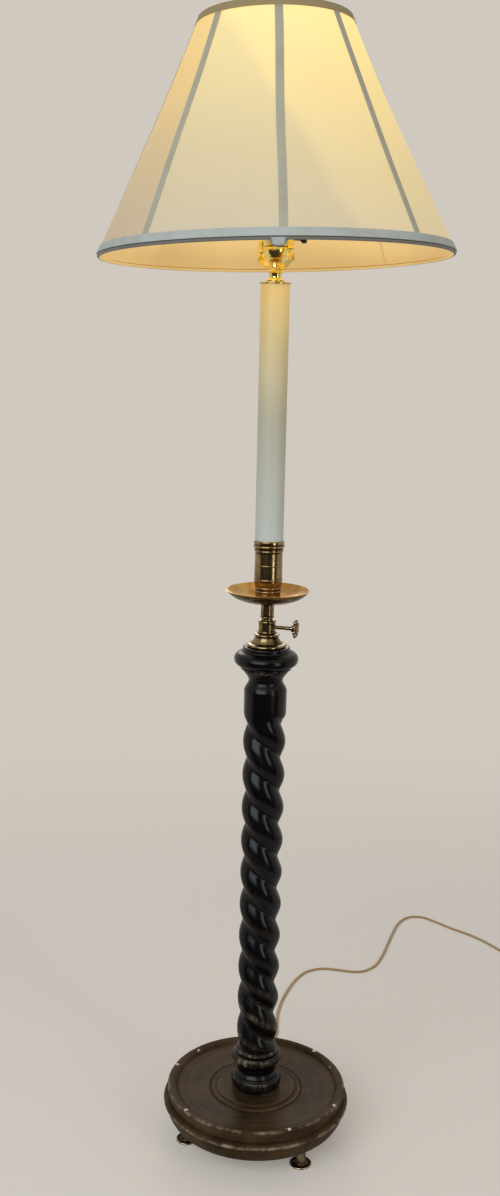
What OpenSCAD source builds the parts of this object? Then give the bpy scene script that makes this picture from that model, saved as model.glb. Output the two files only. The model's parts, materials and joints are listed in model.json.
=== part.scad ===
// Candlestick floor lamp with a telescoping rod.
// Origin: the lamp's axis on the floor. +Z is up, the viewer stands at -Y, and +X is to the viewer's right.
// All sizes are millimetres and degrees.

/* [Feet] */
// Height of a foot, from the floor to the wooden base
foot_h = 31; // [20:1:45]
// Diameter of a foot's flared pad
foot_pad_d = 31.6; // [24:0.2:36]
// Radius of the circle that the feet stand on
foot_circle_r = 104; // [100:1:112]
// Directions of the three feet, fitted by hand and a little uneven
foot_angles = [196, 309, 72]; // [0:1:360]
// Diameter of the screw through a foot
foot_screw_d = 4.4; // [3:0.2:5]

/* [Base] */
// Diameter over the base's outer bead
base_d = 271.2; // [262:0.4:300]
// Thickness of the base, from its skirt to its raised lip
base_h = 49; // [47:1:56]
// Diameter of the raised lip at its widest
lip_d = 260; // [250:1:262]
// Diameter of the skirt's lower edge
skirt_d = 250; // [244:1:258]
// Depth of the column's seat in the dish, below the lip
dish_depth = 4; // [2:0.5:6]
// Radius of the stepped ring round the column's foot
step_ring_r = 66; // [58:1:72]
// Diameter of the iron weight under the base
weight_d = 172; // [140:1:176]
// Thickness of the iron weight
weight_t = 12; // [8:0.5:13]
// Height of the cord's exit hole above the base's underside
exit_rise = 9; // [8:0.5:12]

/* [Column] */
// Height of the turned foot of the column
column_foot_h = 62; // [55:1:75]
// Diameter of the turned foot's two rings
column_foot_d = 73; // [68:1:80]
// Length of the twisted shaft
twist_h = 512; // [400:2:620]
// Diameter over the twist's strands
twist_d = 59; // [54:0.5:64]
// Distance between the centres of the two strands
strand_spread = 13.4; // [10:0.2:17]
// Height that one strand takes for a full turn
twist_pitch = 97.2; // [80:0.2:120]
// Length over which the strands fade into the round block above
fade_top = 15; // [10:1:25]
// Length over which the strands fade into the column's foot
fade_bottom = 18; // [10:1:25]
// Height of the round block and neck above the twist
neck_h = 59.5; // [54:0.5:66]
// Diameter of the neck at its narrowest
neck_d = 46.4; // [42:0.4:52]
// Height of the capital
capital_h = 31.5; // [28:0.5:36]
// Diameter of the capital's big round moulding
capital_d = 88.4; // [80:0.4:96]
// Diameter of the capital's upper step
capital_step_d = 64.4; // [60:0.4:70]
// Radial gap round the tie tube in the wooden pieces
wood_gap = 0.1; // [0.05:0.05:0.3]

/* [Telescoping rod] */
// Outer diameter of the tie tube that clamps the column and guides the rod
tie_tube_d = 21; // [20.5:0.1:23]
// Wall of the tie tube
tie_tube_wall = 1.5; // [1:0.1:1.8]
// Outer diameter of the height rod
rod_d = 16; // [15.4:0.1:16.4]
// Wall of the height rod
rod_wall = 1.4; // [1:0.1:1.6]
// How far the rod can be raised
rod_travel = 320; // [150:10:400]
// Radial running gap of the rod's sliding fits
rod_fit = 0.05; // [0.02:0.01:0.1]
// Height of the brass bush on the rod's lower end
bush_h = 15; // [10:1:25]
// Gap between the collar and the sleeve under the drip pan at the lowest setting
lowest_gap = 3; // [1:0.5:10]
// Radial gap of pieces that are pressed or screwed together
seat_fit = 0.02; // [0.01:0.01:0.05]

/* [Collar and thumbscrew] */
// Diameter of the collar's flange
collar_flange_d = 53.4; // [48:0.2:58]
// Height of the collar
collar_h = 37; // [34:0.5:42]
// Outer diameter of the collar's upper barrel
collar_barrel_d = 23; // [22:0.2:26]
// Depth of the tie tube's socket in the collar
collar_socket_h = 16; // [12:0.5:18]
// Height of the thumbscrew's axis above the collar's foot
thumb_rise = 27.2; // [25.5:0.2:29.5]
// Direction of the thumbscrew, turned a little towards the viewer
thumb_azimuth = -17; // [-40:1:20]
// Diameter of the thumbscrew's shank
thumb_shank_d = 5.4; // [4.6:0.1:6]
// Reach of the thumbscrew's outer face from the lamp's axis
thumb_reach = 43.5; // [38:0.5:50]
// Diameter of the thumbscrew's scalloped head
thumb_head_d = 25.4; // [20:0.2:28]
// Thickness of the thumbscrew's head
thumb_head_t = 5; // [4:0.5:8]
// Number of scallops round the head
thumb_lobes = 8; // [6:1:10]

/* [Drip pan and cup] */
// Diameter of the sleeve under the drip pan
sleeve_d = 18; // [17.4:0.1:20]
// Height of the sleeve under the drip pan
sleeve_h = 21; // [14:0.5:26]
// Diameter of the drip pan
pan_d = 113.6; // [100:0.4:126]
// Height of the drip pan
pan_h = 17.8; // [16:0.1:26]
// Thickness of the pan's sheet
pan_t = 1.3; // [1:0.1:2]
// Height of the candle cup
cup_h = 84.2; // [74:0.2:96]
// Outer diameter of the candle cup's body
cup_d = 38; // [37.6:0.1:38.8]
// Depth of the candle's seat in the cup's rim
candle_seat = 9; // [6:0.5:12]
// Wall of the cup round the candle's seat
cup_wall = 0.6; // [0.5:0.1:1.2]

/* [Candle] */
// Height of the candle sleeve
candle_h = 342.5; // [250:0.5:420]
// Outer diameter of the candle sleeve
candle_d = 38; // [37.4:0.1:38.4]
// Wall of the candle sleeve
candle_wall = 1.7; // [1.2:0.1:2.5]
// Diameter of the brass cap on the candle
candle_cap_d = 41.2; // [38.8:0.2:44]
// Thickness of the candle cap's disc
candle_cap_t = 2; // [1.5:0.1:3]
// Outer diameter of the threaded lamp pipe
pipe_d = 9.8; // [9.4:0.1:10.2]
// Bore of the threaded lamp pipe
pipe_bore = 7.2; // [6.6:0.1:7.6]

/* [Socket and bulb] */
// Height of the flared nut above the candle
coupling_h = 12; // [8:0.5:14]
// Thickness of the harp saddle's strip
saddle_t = 1.2; // [1:0.1:1.6]
// Width of the harp saddle's strip
saddle_w = 12; // [9:0.5:14]
// Distance from the axis to each harp leg
harp_leg_r = 28.7; // [26:0.1:32]
// Direction of the harp's plane
harp_azimuth = -51; // [-60:1:-20]
// Height of the socket's cap
socket_cap_h = 25.3; // [22:0.1:28]
// Outer diameter of the socket's shell
socket_d = 33.2; // [32:0.2:36]
// Height of the socket's shell
socket_shell_h = 43.5; // [40:0.5:50]
// Height of the switch's axis above the socket cap's foot
switch_rise = 36; // [33:0.5:39]
// Reach of the switch knob from the lamp's axis
switch_reach = 39; // [35:0.5:44]
// Diameter of the switch knob
switch_knob_d = 9.2; // [8:0.2:11]
// Diameter of the bulb's glass
bulb_d = 60; // [50:1:70]
// Height of the bulb's glass
bulb_glass_h = 94; // [80:1:105]

/* [Harp and shade] */
// Height from the harp saddle to the seat of the shade's fitter
harp_h = 290; // [270:1:310]
// Half width of the harp at its widest
harp_half_w = 60; // [48:1:75]
// Diameter of the harp's wire
harp_wire_d = 4.8; // [4:0.2:5.4]
// Height of the shade
shade_h = 282; // [240:1:290]
// Diameter of the shade's lower edge
shade_bottom_d = 457; // [400:1:500]
// Diameter of the shade's upper edge
shade_top_d = 191.6; // [180:0.2:230]
// How far the sides bow inwards from a straight cone
shade_bow = 2; // [0:0.5:8]
// Thickness of the shade's lined fabric
fabric_t = 0.8; // [0.5:0.1:1.5]
// Number of ribs and fabric panels
rib_n = 8; // [6:1:12]
// Turn of the rib nearest the viewer, to the viewer's right
rib_turn = 1.2; // [0:0.1:20]
// Width of the tape over each rib
rib_tape_w = 10; // [6:0.5:14]
// Height of the band round the lower edge
bottom_trim_h = 9.5; // [6:0.5:14]
// Height of the band round the upper edge
top_trim_h = 8.5; // [5:0.5:12]
// Lean of the shade on its harp: the viewer's right side is this much higher
lean_side = 1.6; // [0:0.1:3]
// Lean of the shade on its harp: the viewer's side is this much higher
lean_front = 1.9; // [0:0.1:3]
// Height of the finial
finial_h = 30; // [22:1:45]

/* [Cord] */
// Width of the flat twin cord
cord_w = 5.6; // [5.4:0.1:5.8]
// Thickness of the flat twin cord
cord_t = 2.8; // [2.6:0.1:3]
// Turns in each of the coil's two layers
coil_turns = 3; // [2:1:4]
// Radius of the coil's outermost turn
coil_r = 42; // [39:0.5:48]
// Gap between neighbouring turns and between the coil's layers
coil_gap = 0.6; // [0.5:0.1:1]
// Straight length between the coil and the plug
plug_lead = 36; // [34:1:50]
// Length of the plug's body
plug_l = 28; // [22:1:36]
// Width of the plug's body
plug_w = 22; // [19:0.5:26]
// Thickness of the plug's body
plug_t = 11; // [9:0.5:14]
// Length of the tapered bush where the cord leaves the base
bushing_nose = 22; // [16:1:30]

/* [Hidden] */
round_fn = 96;
small_fn = 48;
eps = 0.01;
// Heights of the stacked pieces, each from the one below
base_z = foot_h;
lip_z = base_z + base_h;
column_z = lip_z - dish_depth;
twist_z = column_z + column_foot_h;
neck_z = twist_z + twist_h;
capital_z = neck_z + neck_h;
collar_z = capital_z + capital_h;
collar_top = collar_z + collar_h;
collar_shoulder = collar_z + collar_socket_h;
thumb_z = collar_z + thumb_rise;
sleeve_z = collar_top + lowest_gap;
pan_z = sleeve_z + sleeve_h;
cup_z = pan_z + pan_t;
cup_top = cup_z + cup_h;
candle_z = cup_top - candle_seat;
candle_top = candle_z + candle_h;
cap_ring_h = 4.5;
coupling_z = candle_top + candle_cap_t + cap_ring_h;
saddle_z = coupling_z + coupling_h;
socket_z = saddle_z + saddle_t;
shell_z = socket_z + socket_cap_h - 1.5;
shell_top = shell_z + socket_shell_h;
hub_z = saddle_z + harp_h;
shade_recess = 10;
shade_top = hub_z + shade_recess;
shade_z = shade_top - shade_h;
// Radii that several pieces share
tie_r = tie_tube_d / 2;
tie_bore = tie_r - tie_tube_wall;
wood_bore = tie_r + wood_gap;
rod_r = rod_d / 2;
rod_bore = rod_r - rod_wall;
pipe_r = pipe_d / 2;
pipe_hole = pipe_r + seat_fit;
foot_screw_r = foot_screw_d / 2;
collar_step_r = capital_step_d / 2;
// Underside of the base: ceiling of the weight's recess, the lock nut and the cord's way out
recess_z = base_z + weight_t + 3;
washer_t = 2;
nut_h = 6;
nut_r = 17;
washer_r = 18;
weight_bore_r = 24;
slot_w = 9;
exit_z = base_z + exit_rise;
bushing_r = 4.9;
bushing_flange_r = 7.4;
skirt_r = skirt_d / 2;
nose_end = skirt_r + bushing_nose;
foot_screw_l = foot_h + 14;
weight_screw_r = 60;
weight_screw_l = weight_t + 9;
// The rod's lower end: at full height its bush stops half a millimetre under the collar's shoulder
stop_gap = 0.5;
rod_low = collar_shoulder - stop_gap - rod_travel - bush_h;
rod_top = pan_z - 1.5;
tie_low = recess_z - washer_t - nut_h - 0.5;
plug_len = 15;
// Cord: the section's corner cut, the route's points and the coil's place
cord_corner = 1.1;
cord_rest = cord_t / 2;
coil_centre = [548, 520];
cord_route = [
    [0, nose_end, exit_z], [0, nose_end + 6, exit_z], [0, nose_end + 12, exit_z],
    [1, nose_end + 24, exit_z - 4], [4, nose_end + 37, exit_z - 15], [9, nose_end + 51, exit_z - 29],
    [16, nose_end + 66, cord_rest + 1.5], [23, nose_end + 82, cord_rest], [31, 252, cord_rest],
    [37, 276, cord_rest], [38, 305, cord_rest], [40, 340, cord_rest], [48, 384, cord_rest], [61, 428, cord_rest], [77, 468, cord_rest],
    [97, 497, cord_rest], [125, 510, cord_rest], [153, 507, cord_rest], [180, 501, cord_rest],
    [203, 504, cord_rest], [226, 526, cord_rest], [243, 565, cord_rest], [258, 614, cord_rest],
    [274, 667, cord_rest], [291, 713, cord_rest], [314, 741, cord_rest], [342, 742, cord_rest],
    [369, 719, cord_rest], [396, 692, cord_rest], [423, 669, cord_rest], [449, 640, cord_rest],
    [472, 606, cord_rest], [489, 576, cord_rest], [501, 552, cord_rest],
    [coil_centre.x - coil_r, coil_centre.y + cord_w + 11, cord_rest],
    [coil_centre.x - coil_r, coil_centre.y + cord_w + 5.5, cord_rest],
    [coil_centre.x - coil_r, coil_centre.y + cord_w, cord_rest]];
lead_route = [
    [0, nose_end, exit_z], [0, skirt_r, exit_z], [0, 100, exit_z], [0, 75, exit_z - 1.5],
    [0, 50, exit_z - 4.5], [0, 26, base_z + 3.5], [0, 14, base_z + 3.5], [0, 7.5, base_z + 5],
    [0, 2.5, base_z + 9.5], [0, 0, base_z + 17], [0, 0, base_z + 40], [0, 0, base_z + 120],
    [0, 0, base_z + 220], [0, 0, base_z + 300]];

wood_dark = [0.08, 0.07, 0.06];
wood_worn = [0.25, 0.21, 0.15];
brass_aged = [0.45, 0.36, 0.2];
brass_bright = [0.85, 0.66, 0.3];
steel = [0.55, 0.56, 0.58];
iron = [0.2, 0.2, 0.21];
ivory = [0.88, 0.87, 0.8];
silk = [0.93, 0.87, 0.68];
tape_grey = [0.66, 0.68, 0.66];
black = [0.06, 0.05, 0.05];
card = [0.55, 0.45, 0.32];
cord_gold = [0.72, 0.56, 0.28];

// ---- shared shapes ----

// Points of an arc about (cx, cy) from angle a0 to a1, for a turned outline
function arc(cx, cy, r, a0, a1, n = 8) =
    [for (i = [0:n]) [cx + r * cos(a0 + (a1 - a0) * i / n), cy + r * sin(a0 + (a1 - a0) * i / n)]];

// Points of an upright oval about (cx, cy) from angle a0 to a1
function oval(cx, cy, rx, ry, a0, a1, n = 8) =
    [for (i = [0:n]) [cx + rx * cos(a0 + (a1 - a0) * i / n), cy + ry * sin(a0 + (a1 - a0) * i / n)]];

// A smooth step from 0 to 1
function ease(t) = t <= 0 ? 0 : t >= 1 ? 1 : t * t * (3 - 2 * t);

// A solid of revolution from its half outline, lifted to z
module turned(points, z = 0) {
    translate([0, 0, z])
    rotate_extrude($fn = round_fn)
    polygon(points);
}

// A plain tube from z to z + h
module tube(r_out, r_in, h, z) {
    translate([0, 0, z])
    difference() {
        cylinder(r = r_out, h = h, $fn = round_fn);
        translate([0, 0, -1]) cylinder(r = r_in, h = h + 2, $fn = round_fn);
    }
}

// One closed solid from rings of equal point count
module skin(rings) {
    n = len(rings[0]);
    m = len(rings);
    sides = [for (k = [0:m - 2], i = [0:n - 1]) let (j = (i + 1) % n)
        each [[k * n + i, k * n + j, (k + 1) * n + j], [k * n + i, (k + 1) * n + j, (k + 1) * n + i]]];
    low = [for (i = [1:n - 2]) [0, i + 1, i]];
    high = [for (i = [1:n - 2]) [(m - 1) * n, (m - 1) * n + i, (m - 1) * n + i + 1]];
    polyhedron(points = [for (r = rings) each r], faces = [for (f = concat(sides, low, high))
        [f[2], f[1], f[0]]], convexity = 10);
}

function unit(v) = v / norm(v);

// Point at t between the two middle points of four, on a smooth curve through all
function curve_point(a, b, c, d, t) =
    0.5 * ((2 * b) + (c - a) * t + (2 * a - 5 * b + 4 * c - d) * t * t
    + (3 * b - a - 3 * c + d) * t * t * t);

// A smooth curve through points, with the given steps between neighbours
function smooth_path(p, steps) = let (n = len(p)) concat(
    [for (i = [0:n - 2], s = [0:steps - 1])
        curve_point(p[max(i - 1, 0)], p[i], p[i + 1], p[min(i + 2, n - 1)], s / steps)],
    [p[n - 1]]);

// Direction of a path at its k-th point
function heading(p, k) = unit(p[min(k + 1, len(p) - 1)] - p[max(k - 1, 0)]);

// Rings of a cross-section carried along a path. The section's x stays level and square to the path.
function sweep_rings(path, section, side = undef) = [for (k = [0:len(path) - 1])
    let (t = heading(path, k), s = is_undef(side) ? unit(cross(t, [0, 0, 1])) : side, u = cross(s, t))
    [for (q = section) path[k] + q.x * s + q.y * u]];

// Flat oval section of the cord with eight corners
function cord_section() = let (w = cord_w / 2, t = cord_t / 2, c = cord_corner) [
    [w, t - c * 0.7], [w - c, t], [c - w, t], [-w, t - c * 0.7],
    [-w, c * 0.7 - t], [c - w, -t], [w - c, -t], [w, c * 0.7 - t]];

// The same section with six corners, for the coil
function coil_section() = let (w = cord_w / 2, t = cord_t / 2, c = cord_corner) [
    [w, 0], [w - c, t], [c - w, t], [-w, 0], [c - w, -t], [w - c, -t]];

function circle_section(r, n) = [for (i = [0:n - 1]) [r * cos(360 * i / n), r * sin(360 * i / n)]];

// ---- feet and base ----

module at_feet() {
    for (a = foot_angles) rotate([0, 0, a]) translate([foot_circle_r, 0, 0]) children();
}

module feet() {
    pad_r = foot_pad_d / 2;
    stem_r = 7.2;
    color(brass_aged)
    at_feet()
    difference() {
        turned(concat([[0, 0], [pad_r - 1.4, 0]], arc(pad_r - 1.4, 1.4, 1.4, -80, 120, 6),
            [[pad_r - 3.6, 1.9], [stem_r + 3, 2.8], [stem_r + 0.6, 5.4], [stem_r, 10], [stem_r, foot_h - 9],
            [stem_r + 2, foot_h - 5], [11, foot_h - 3.5], [11, foot_h], [0, foot_h]]));
        translate([0, 0, -1]) cylinder(r = foot_screw_r + seat_fit, h = foot_h + 2, $fn = small_fn);
        translate([0, 0, -1]) cylinder(r = foot_screw_d + 0.3, h = 5, $fn = small_fn);
    }
}

module foot_screws() {
    color(steel)
    at_feet()
    difference() {
        union() {
            translate([0, 0, 1.2]) cylinder(r = foot_screw_d, h = 2.8, $fn = small_fn);
            translate([0, 0, 2]) cylinder(r = foot_screw_r, h = foot_screw_l - 2, $fn = small_fn);
        }
        translate([-foot_screw_d, -0.5, 0]) cube([2 * foot_screw_d, 1, 2.2]);
    }
}

// Half outline of the wooden base, from its underside round the moulded edge to the dish
function base_outline() = let (bead = base_d / 2, lip = lip_d / 2, top = lip_z, z0 = base_z) concat(
    [[0, z0], [skirt_r - 3, z0], [skirt_r, z0 + 2.2], [skirt_r + 4, z0 + 9], [bead - 4.4, z0 + 16],
    [bead - 3, z0 + 22.6]],
    arc(bead - 3, z0 + 26, 3, -50, 70, 6),
    [[lip - 1.6, z0 + 30.4], [lip - 2, z0 + 32.5], [lip - 0.9, top - 12], [lip - 0.2, top - 8]],
    arc(lip - 3.4, top - 3.4, 3.4, 0, 95, 7),
    [[lip - 8, top - 0.8], [lip - 11.6, top - 2.2], [lip - 13, top - 4.2], [lip - 16, top - 5.4],
    [lip - 24, top - 6.4], [step_ring_r + 14, top - 8.2],
    [step_ring_r + 3, top - 8.2], [step_ring_r + 1, top - 9.2], [step_ring_r - 1, top - 7],
    [step_ring_r - 7, top - 6.6], [step_ring_r - 9, top - 5.2], [column_foot_d / 2 + 9, top - 4.6],
    [column_foot_d / 2 + 2, column_z], [0, column_z]]);

module base_disc() {
    color(wood_worn)
    difference() {
        turned(base_outline());
        translate([0, 0, base_z - 1]) cylinder(r = wood_bore, h = base_h + 2, $fn = round_fn);
        translate([0, 0, base_z - 1])
        cylinder(r = weight_d / 2 + 0.3, h = recess_z - base_z + 1, $fn = round_fn);
        at_feet() translate([0, 0, base_z - 1])
        cylinder(r = foot_screw_r + seat_fit, h = 16, $fn = small_fn);
        at_weight_screws() translate([0, 0, recess_z - 1]) cylinder(r = 2 + seat_fit, h = 11, $fn = small_fn);
        translate([0, weight_d / 2 - 5, exit_z]) rotate([-90, 0, 0])
        cylinder(r = bushing_r + seat_fit, h = skirt_r, $fn = small_fn);
        translate([0, skirt_r, exit_z]) rotate([-90, 0, 0])
        cylinder(r = bushing_flange_r + 0.3, h = skirt_r, $fn = small_fn);
    }
}

module at_weight_screws() {
    for (a = [30, 150, 270]) rotate([0, 0, a]) translate([weight_screw_r, 0, 0]) children();
}

module base_weight() {
    color(iron)
    difference() {
        translate([0, 0, recess_z - weight_t])
        cylinder(r = weight_d / 2, h = weight_t, $fn = round_fn);
        translate([0, 0, base_z - 1]) cylinder(r = weight_bore_r, h = base_h, $fn = round_fn);
        translate([-slot_w / 2, 0, base_z - 1]) cube([slot_w, weight_d, base_h]);
        at_weight_screws() translate([0, 0, base_z - 1]) cylinder(r = 2 + seat_fit, h = base_h, $fn = small_fn);
        at_weight_screws() translate([0, 0, recess_z - weight_t - 1]) cylinder(r = 4.3, h = 4, $fn = small_fn);
    }
}

module weight_screws() {
    head_z = recess_z - weight_t + 0.4;
    color(steel)
    at_weight_screws()
    difference() {
        union() {
            translate([0, 0, head_z]) cylinder(r = 4, h = 2.6, $fn = small_fn);
            translate([0, 0, head_z + 1]) cylinder(r = 2, h = weight_screw_l - 2, $fn = small_fn);
        }
        translate([-5, -0.5, head_z - 1]) cube([10, 1, 2]);
    }
}

module lock_washer() {
    color(steel) tube(washer_r, tie_r + seat_fit, washer_t, recess_z - washer_t);
}

module lock_nut() {
    color(steel)
    translate([0, 0, recess_z - washer_t - nut_h])
    difference() {
        cylinder(r = nut_r, h = nut_h, $fn = 6);
        translate([0, 0, -1]) cylinder(r = tie_r + seat_fit, h = nut_h + 2, $fn = round_fn);
    }
}

// ---- column ----

module column_foot() {
    ring_r = column_foot_d / 2;
    waist_r = ring_r - 8.7;
    top_z = column_foot_h;
    color(wood_dark)
    difference() {
        turned(concat([[0, 0], [ring_r - 3.6, 0]],
            oval(ring_r - 6, 11, 6, 9, -58, 76, 9),
            [[ring_r - 5.6, 21], [ring_r - 5.2, 22.6], [ring_r - 6.2, 24], [waist_r, 27.5],
            [waist_r, top_z - 24], [waist_r + 2, top_z - 20.5]],
            arc(ring_r - 7, top_z - 13, 7, -75, 68, 8),
            [[twist_d / 2, top_z - 6.2], [twist_d / 2 + 1.2, top_z - 5.2], [twist_d / 2 + 1.4, top_z - 3],
            [twist_d / 2 + 0.6, top_z - 1.2], [twist_d / 2 - 1.5, top_z], [0, top_z]]), column_z);
        translate([0, 0, column_z - 1]) cylinder(r = wood_bore, h = column_foot_h + 2, $fn = round_fn);
    }
}

// Reach of the twist's outline at angle a from the strands' plane: two overlapping circles
function strand_reach(a) = let (d = strand_spread / 2, r = twist_d / 2 - d)
    d * abs(cos(a)) + sqrt(r * r - d * d * sin(a) * sin(a));

// One level of the twist, with its strands turned to the left as they climb and faded at both ends
function twist_ring(h, n) = let (
    w = ease(h / fade_bottom) * ease((twist_h - h) / fade_top),
    plain = h < twist_h / 2 ? twist_d / 2 - 1.5 : twist_d / 2,
    turn = -90 + (twist_h - 20 - h) * 360 / twist_pitch)
    [for (i = [0:n - 1]) let (a = 360 * i / n, r = w * strand_reach(a) + (1 - w) * plain)
        [r * cos(a + turn), r * sin(a + turn), h]];

module twist_column() {
    levels = round(twist_h / 6);
    color(wood_dark)
    translate([0, 0, twist_z])
    difference() {
        skin([for (k = [0:levels]) twist_ring(twist_h * k / levels, 32)]);
        translate([0, 0, -1]) cylinder(r = wood_bore, h = twist_h + 2, $fn = round_fn);
    }
}

module column_neck() {
    block_r = twist_d / 2;
    narrow_r = neck_d / 2;
    color(wood_dark)
    difference() {
        turned([[0, 0], [block_r, 0], [block_r, neck_h - 29.4], [block_r - 0.5, neck_h - 28.4],
            [block_r - 2, neck_h - 24.8], [narrow_r + 1.2, neck_h - 20.2], [narrow_r, neck_h - 16.4],
            [narrow_r + 1.6, neck_h - 11.6], [narrow_r + 4.8, neck_h - 7.2],
            [capital_step_d / 2 - 1, neck_h - 3], [capital_step_d / 2 + 0.4, neck_h], [0, neck_h]], neck_z);
        translate([0, 0, neck_z - 1]) cylinder(r = wood_bore, h = neck_h + 2, $fn = round_fn);
    }
}

module capital() {
    bulge_r = capital_d / 2;
    bulge_z = 14;
    color(wood_dark)
    difference() {
        turned(concat([[0, 0], [capital_step_d / 2 + 2.2, 0], [capital_step_d / 2 + 2.7, 0.6],
            [capital_step_d / 2 + 2.7, 3], [capital_step_d / 2 + 2, 3.8], [capital_step_d / 2 + 3.4, 4.4]],
            arc(bulge_r - 9.6, bulge_z, 9.6, -62, 68, 9),
            [[collar_step_r + 1, capital_h - 6.6], [collar_step_r, capital_h - 5.4],
            [collar_step_r, capital_h - 1], [collar_step_r - 1, capital_h], [0, capital_h]]), capital_z);
        translate([0, 0, capital_z - 1]) cylinder(r = wood_bore, h = capital_h + 2, $fn = round_fn);
    }
}

module tie_tube() {
    color(steel) tube(tie_r, tie_bore, collar_shoulder - tie_low, tie_low);
}

// ---- collar and thumbscrew ----

// Places children with their +X along the thumbscrew
module at_thumb() {
    translate([0, 0, thumb_z]) rotate([0, 0, thumb_azimuth]) children();
}

module bell_collar() {
    flange_r = collar_flange_d / 2;
    barrel_r = collar_barrel_d / 2;
    color(brass_aged)
    difference() {
        turned(concat([[0, 0]], arc(flange_r - 2.1, 2.1, 2.1, -90, 75, 6),
            [[flange_r - 4.4, 4.5], [flange_r - 6.2, 5.6], [flange_r - 8.4, 8.6], [flange_r - 10, 11.6],
            [flange_r - 11.2, 14.4], [flange_r - 11.2, 15.2]], arc(flange_r - 10.4, 16.6, 1.4, -60, 80, 5),
            [[barrel_r + 1.6, 18.6]], arc(barrel_r - 0.1, 20.4, 1.2, -60, 80, 4),
            [[barrel_r, 22.4], [barrel_r, collar_h - 4.6]],
            arc(barrel_r - 0.7, collar_h - 2.4, 1.7, -55, 80, 5),
            [[barrel_r - 1.6, collar_h], [0, collar_h]]), collar_z);
        translate([0, 0, collar_z - 1])
        cylinder(r = tie_r + seat_fit, h = collar_socket_h + 1, $fn = round_fn);
        translate([0, 0, collar_z]) cylinder(r = rod_r + rod_fit, h = collar_h + 1, $fn = round_fn);
        at_thumb() rotate([0, 90, 0])
        cylinder(r = thumb_shank_d / 2 + rod_fit, h = flange_r, $fn = small_fn);
    }
}

pad_gap = 0.3;
pad_t = 1.4;
screw_gap = 0.1;

module clamp_pad() {
    color(brass_bright)
    at_thumb() translate([rod_r + pad_gap, 0, 0]) rotate([0, 90, 0])
    cylinder(r = thumb_shank_d / 2, h = pad_t, $fn = small_fn);
}

module thumbscrew() {
    tip = rod_r + pad_gap + pad_t + screw_gap;
    head = thumb_reach - thumb_head_t;
    head_r = thumb_head_d / 2;
    lobe_r = head_r * 0.26;
    color(brass_aged)
    at_thumb() rotate([0, 90, 0])
    union() {
        translate([0, 0, tip]) cylinder(r = thumb_shank_d / 2, h = head - tip, $fn = small_fn);
        translate([0, 0, head - 3.4]) cylinder(r = 4.9, h = 1.6, $fn = small_fn);
        translate([0, 0, head - 1.8]) cylinder(r1 = 4, r2 = 6.5, h = 1.8, $fn = small_fn);
        translate([0, 0, head]) linear_extrude(thumb_head_t - 1.2) {
            circle(r = head_r - lobe_r, $fn = small_fn);
            for (k = [0:thumb_lobes - 1]) rotate([0, 0, 360 * (k + 0.5) / thumb_lobes])
                translate([head_r - lobe_r, 0]) circle(r = lobe_r, $fn = small_fn);
        }
        translate([0, 0, thumb_reach - 1.2]) cylinder(r1 = 6.4, r2 = 4.2, h = 1.2, $fn = small_fn);
    }
}

// ---- rod, drip pan and candle cup ----

module rod_bush() {
    color(brass_bright) tube(tie_bore - rod_fit, rod_r + seat_fit, bush_h, rod_low);
}

module height_rod() {
    color(brass_aged) tube(rod_r, rod_bore, rod_top - rod_low, rod_low);
}

module rod_plug() {
    color(brass_bright) tube(rod_bore - seat_fit, pipe_hole, plug_len, rod_top - plug_len);
}

module pan_sleeve() {
    r = sleeve_d / 2;
    color(brass_aged)
    difference() {
        turned(concat([[0, 0], [r - 0.4, 0]], arc(r - 0.5, 1.1, 1.1, -80, 80, 5),
            [[r, 2.4], [r, sleeve_h - 2], [r + 1.6, sleeve_h], [0, sleeve_h]]), sleeve_z);
        translate([0, 0, sleeve_z - 1])
        cylinder(r = rod_r + seat_fit, h = rod_top - sleeve_z + 1, $fn = round_fn);
        translate([0, 0, sleeve_z - 1]) cylinder(r = pipe_hole, h = sleeve_h + 2, $fn = round_fn);
    }
}

// Profile of the pan's under side as shares of its radius and height; the upper side lies pan_t inside
pan_shape = [[0.44, 0.035], [0.62, 0.18], [0.8, 0.42], [0.93, 0.72], [1, 1]];

module drip_pan() {
    r = pan_d / 2;
    under = concat([[cup_d / 2 - 0.3, 0]], [for (p = pan_shape) [p.x * r, p.y * (pan_h - 0.4)]]);
    upper = [for (k = [len(under) - 1:-1:0]) [under[k].x - 0.8 * under[k].y * pan_t / pan_h,
        under[k].y + pan_t * (k == len(under) - 1 ? 0.3 : 1)]];
    color(brass_bright)
    difference() {
        turned(concat([[0, 0]], under, upper, [[0, pan_t]]), pan_z);
        translate([0, 0, pan_z - 1]) cylinder(r = pipe_hole, h = pan_t + 2, $fn = round_fn);
    }
}

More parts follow.
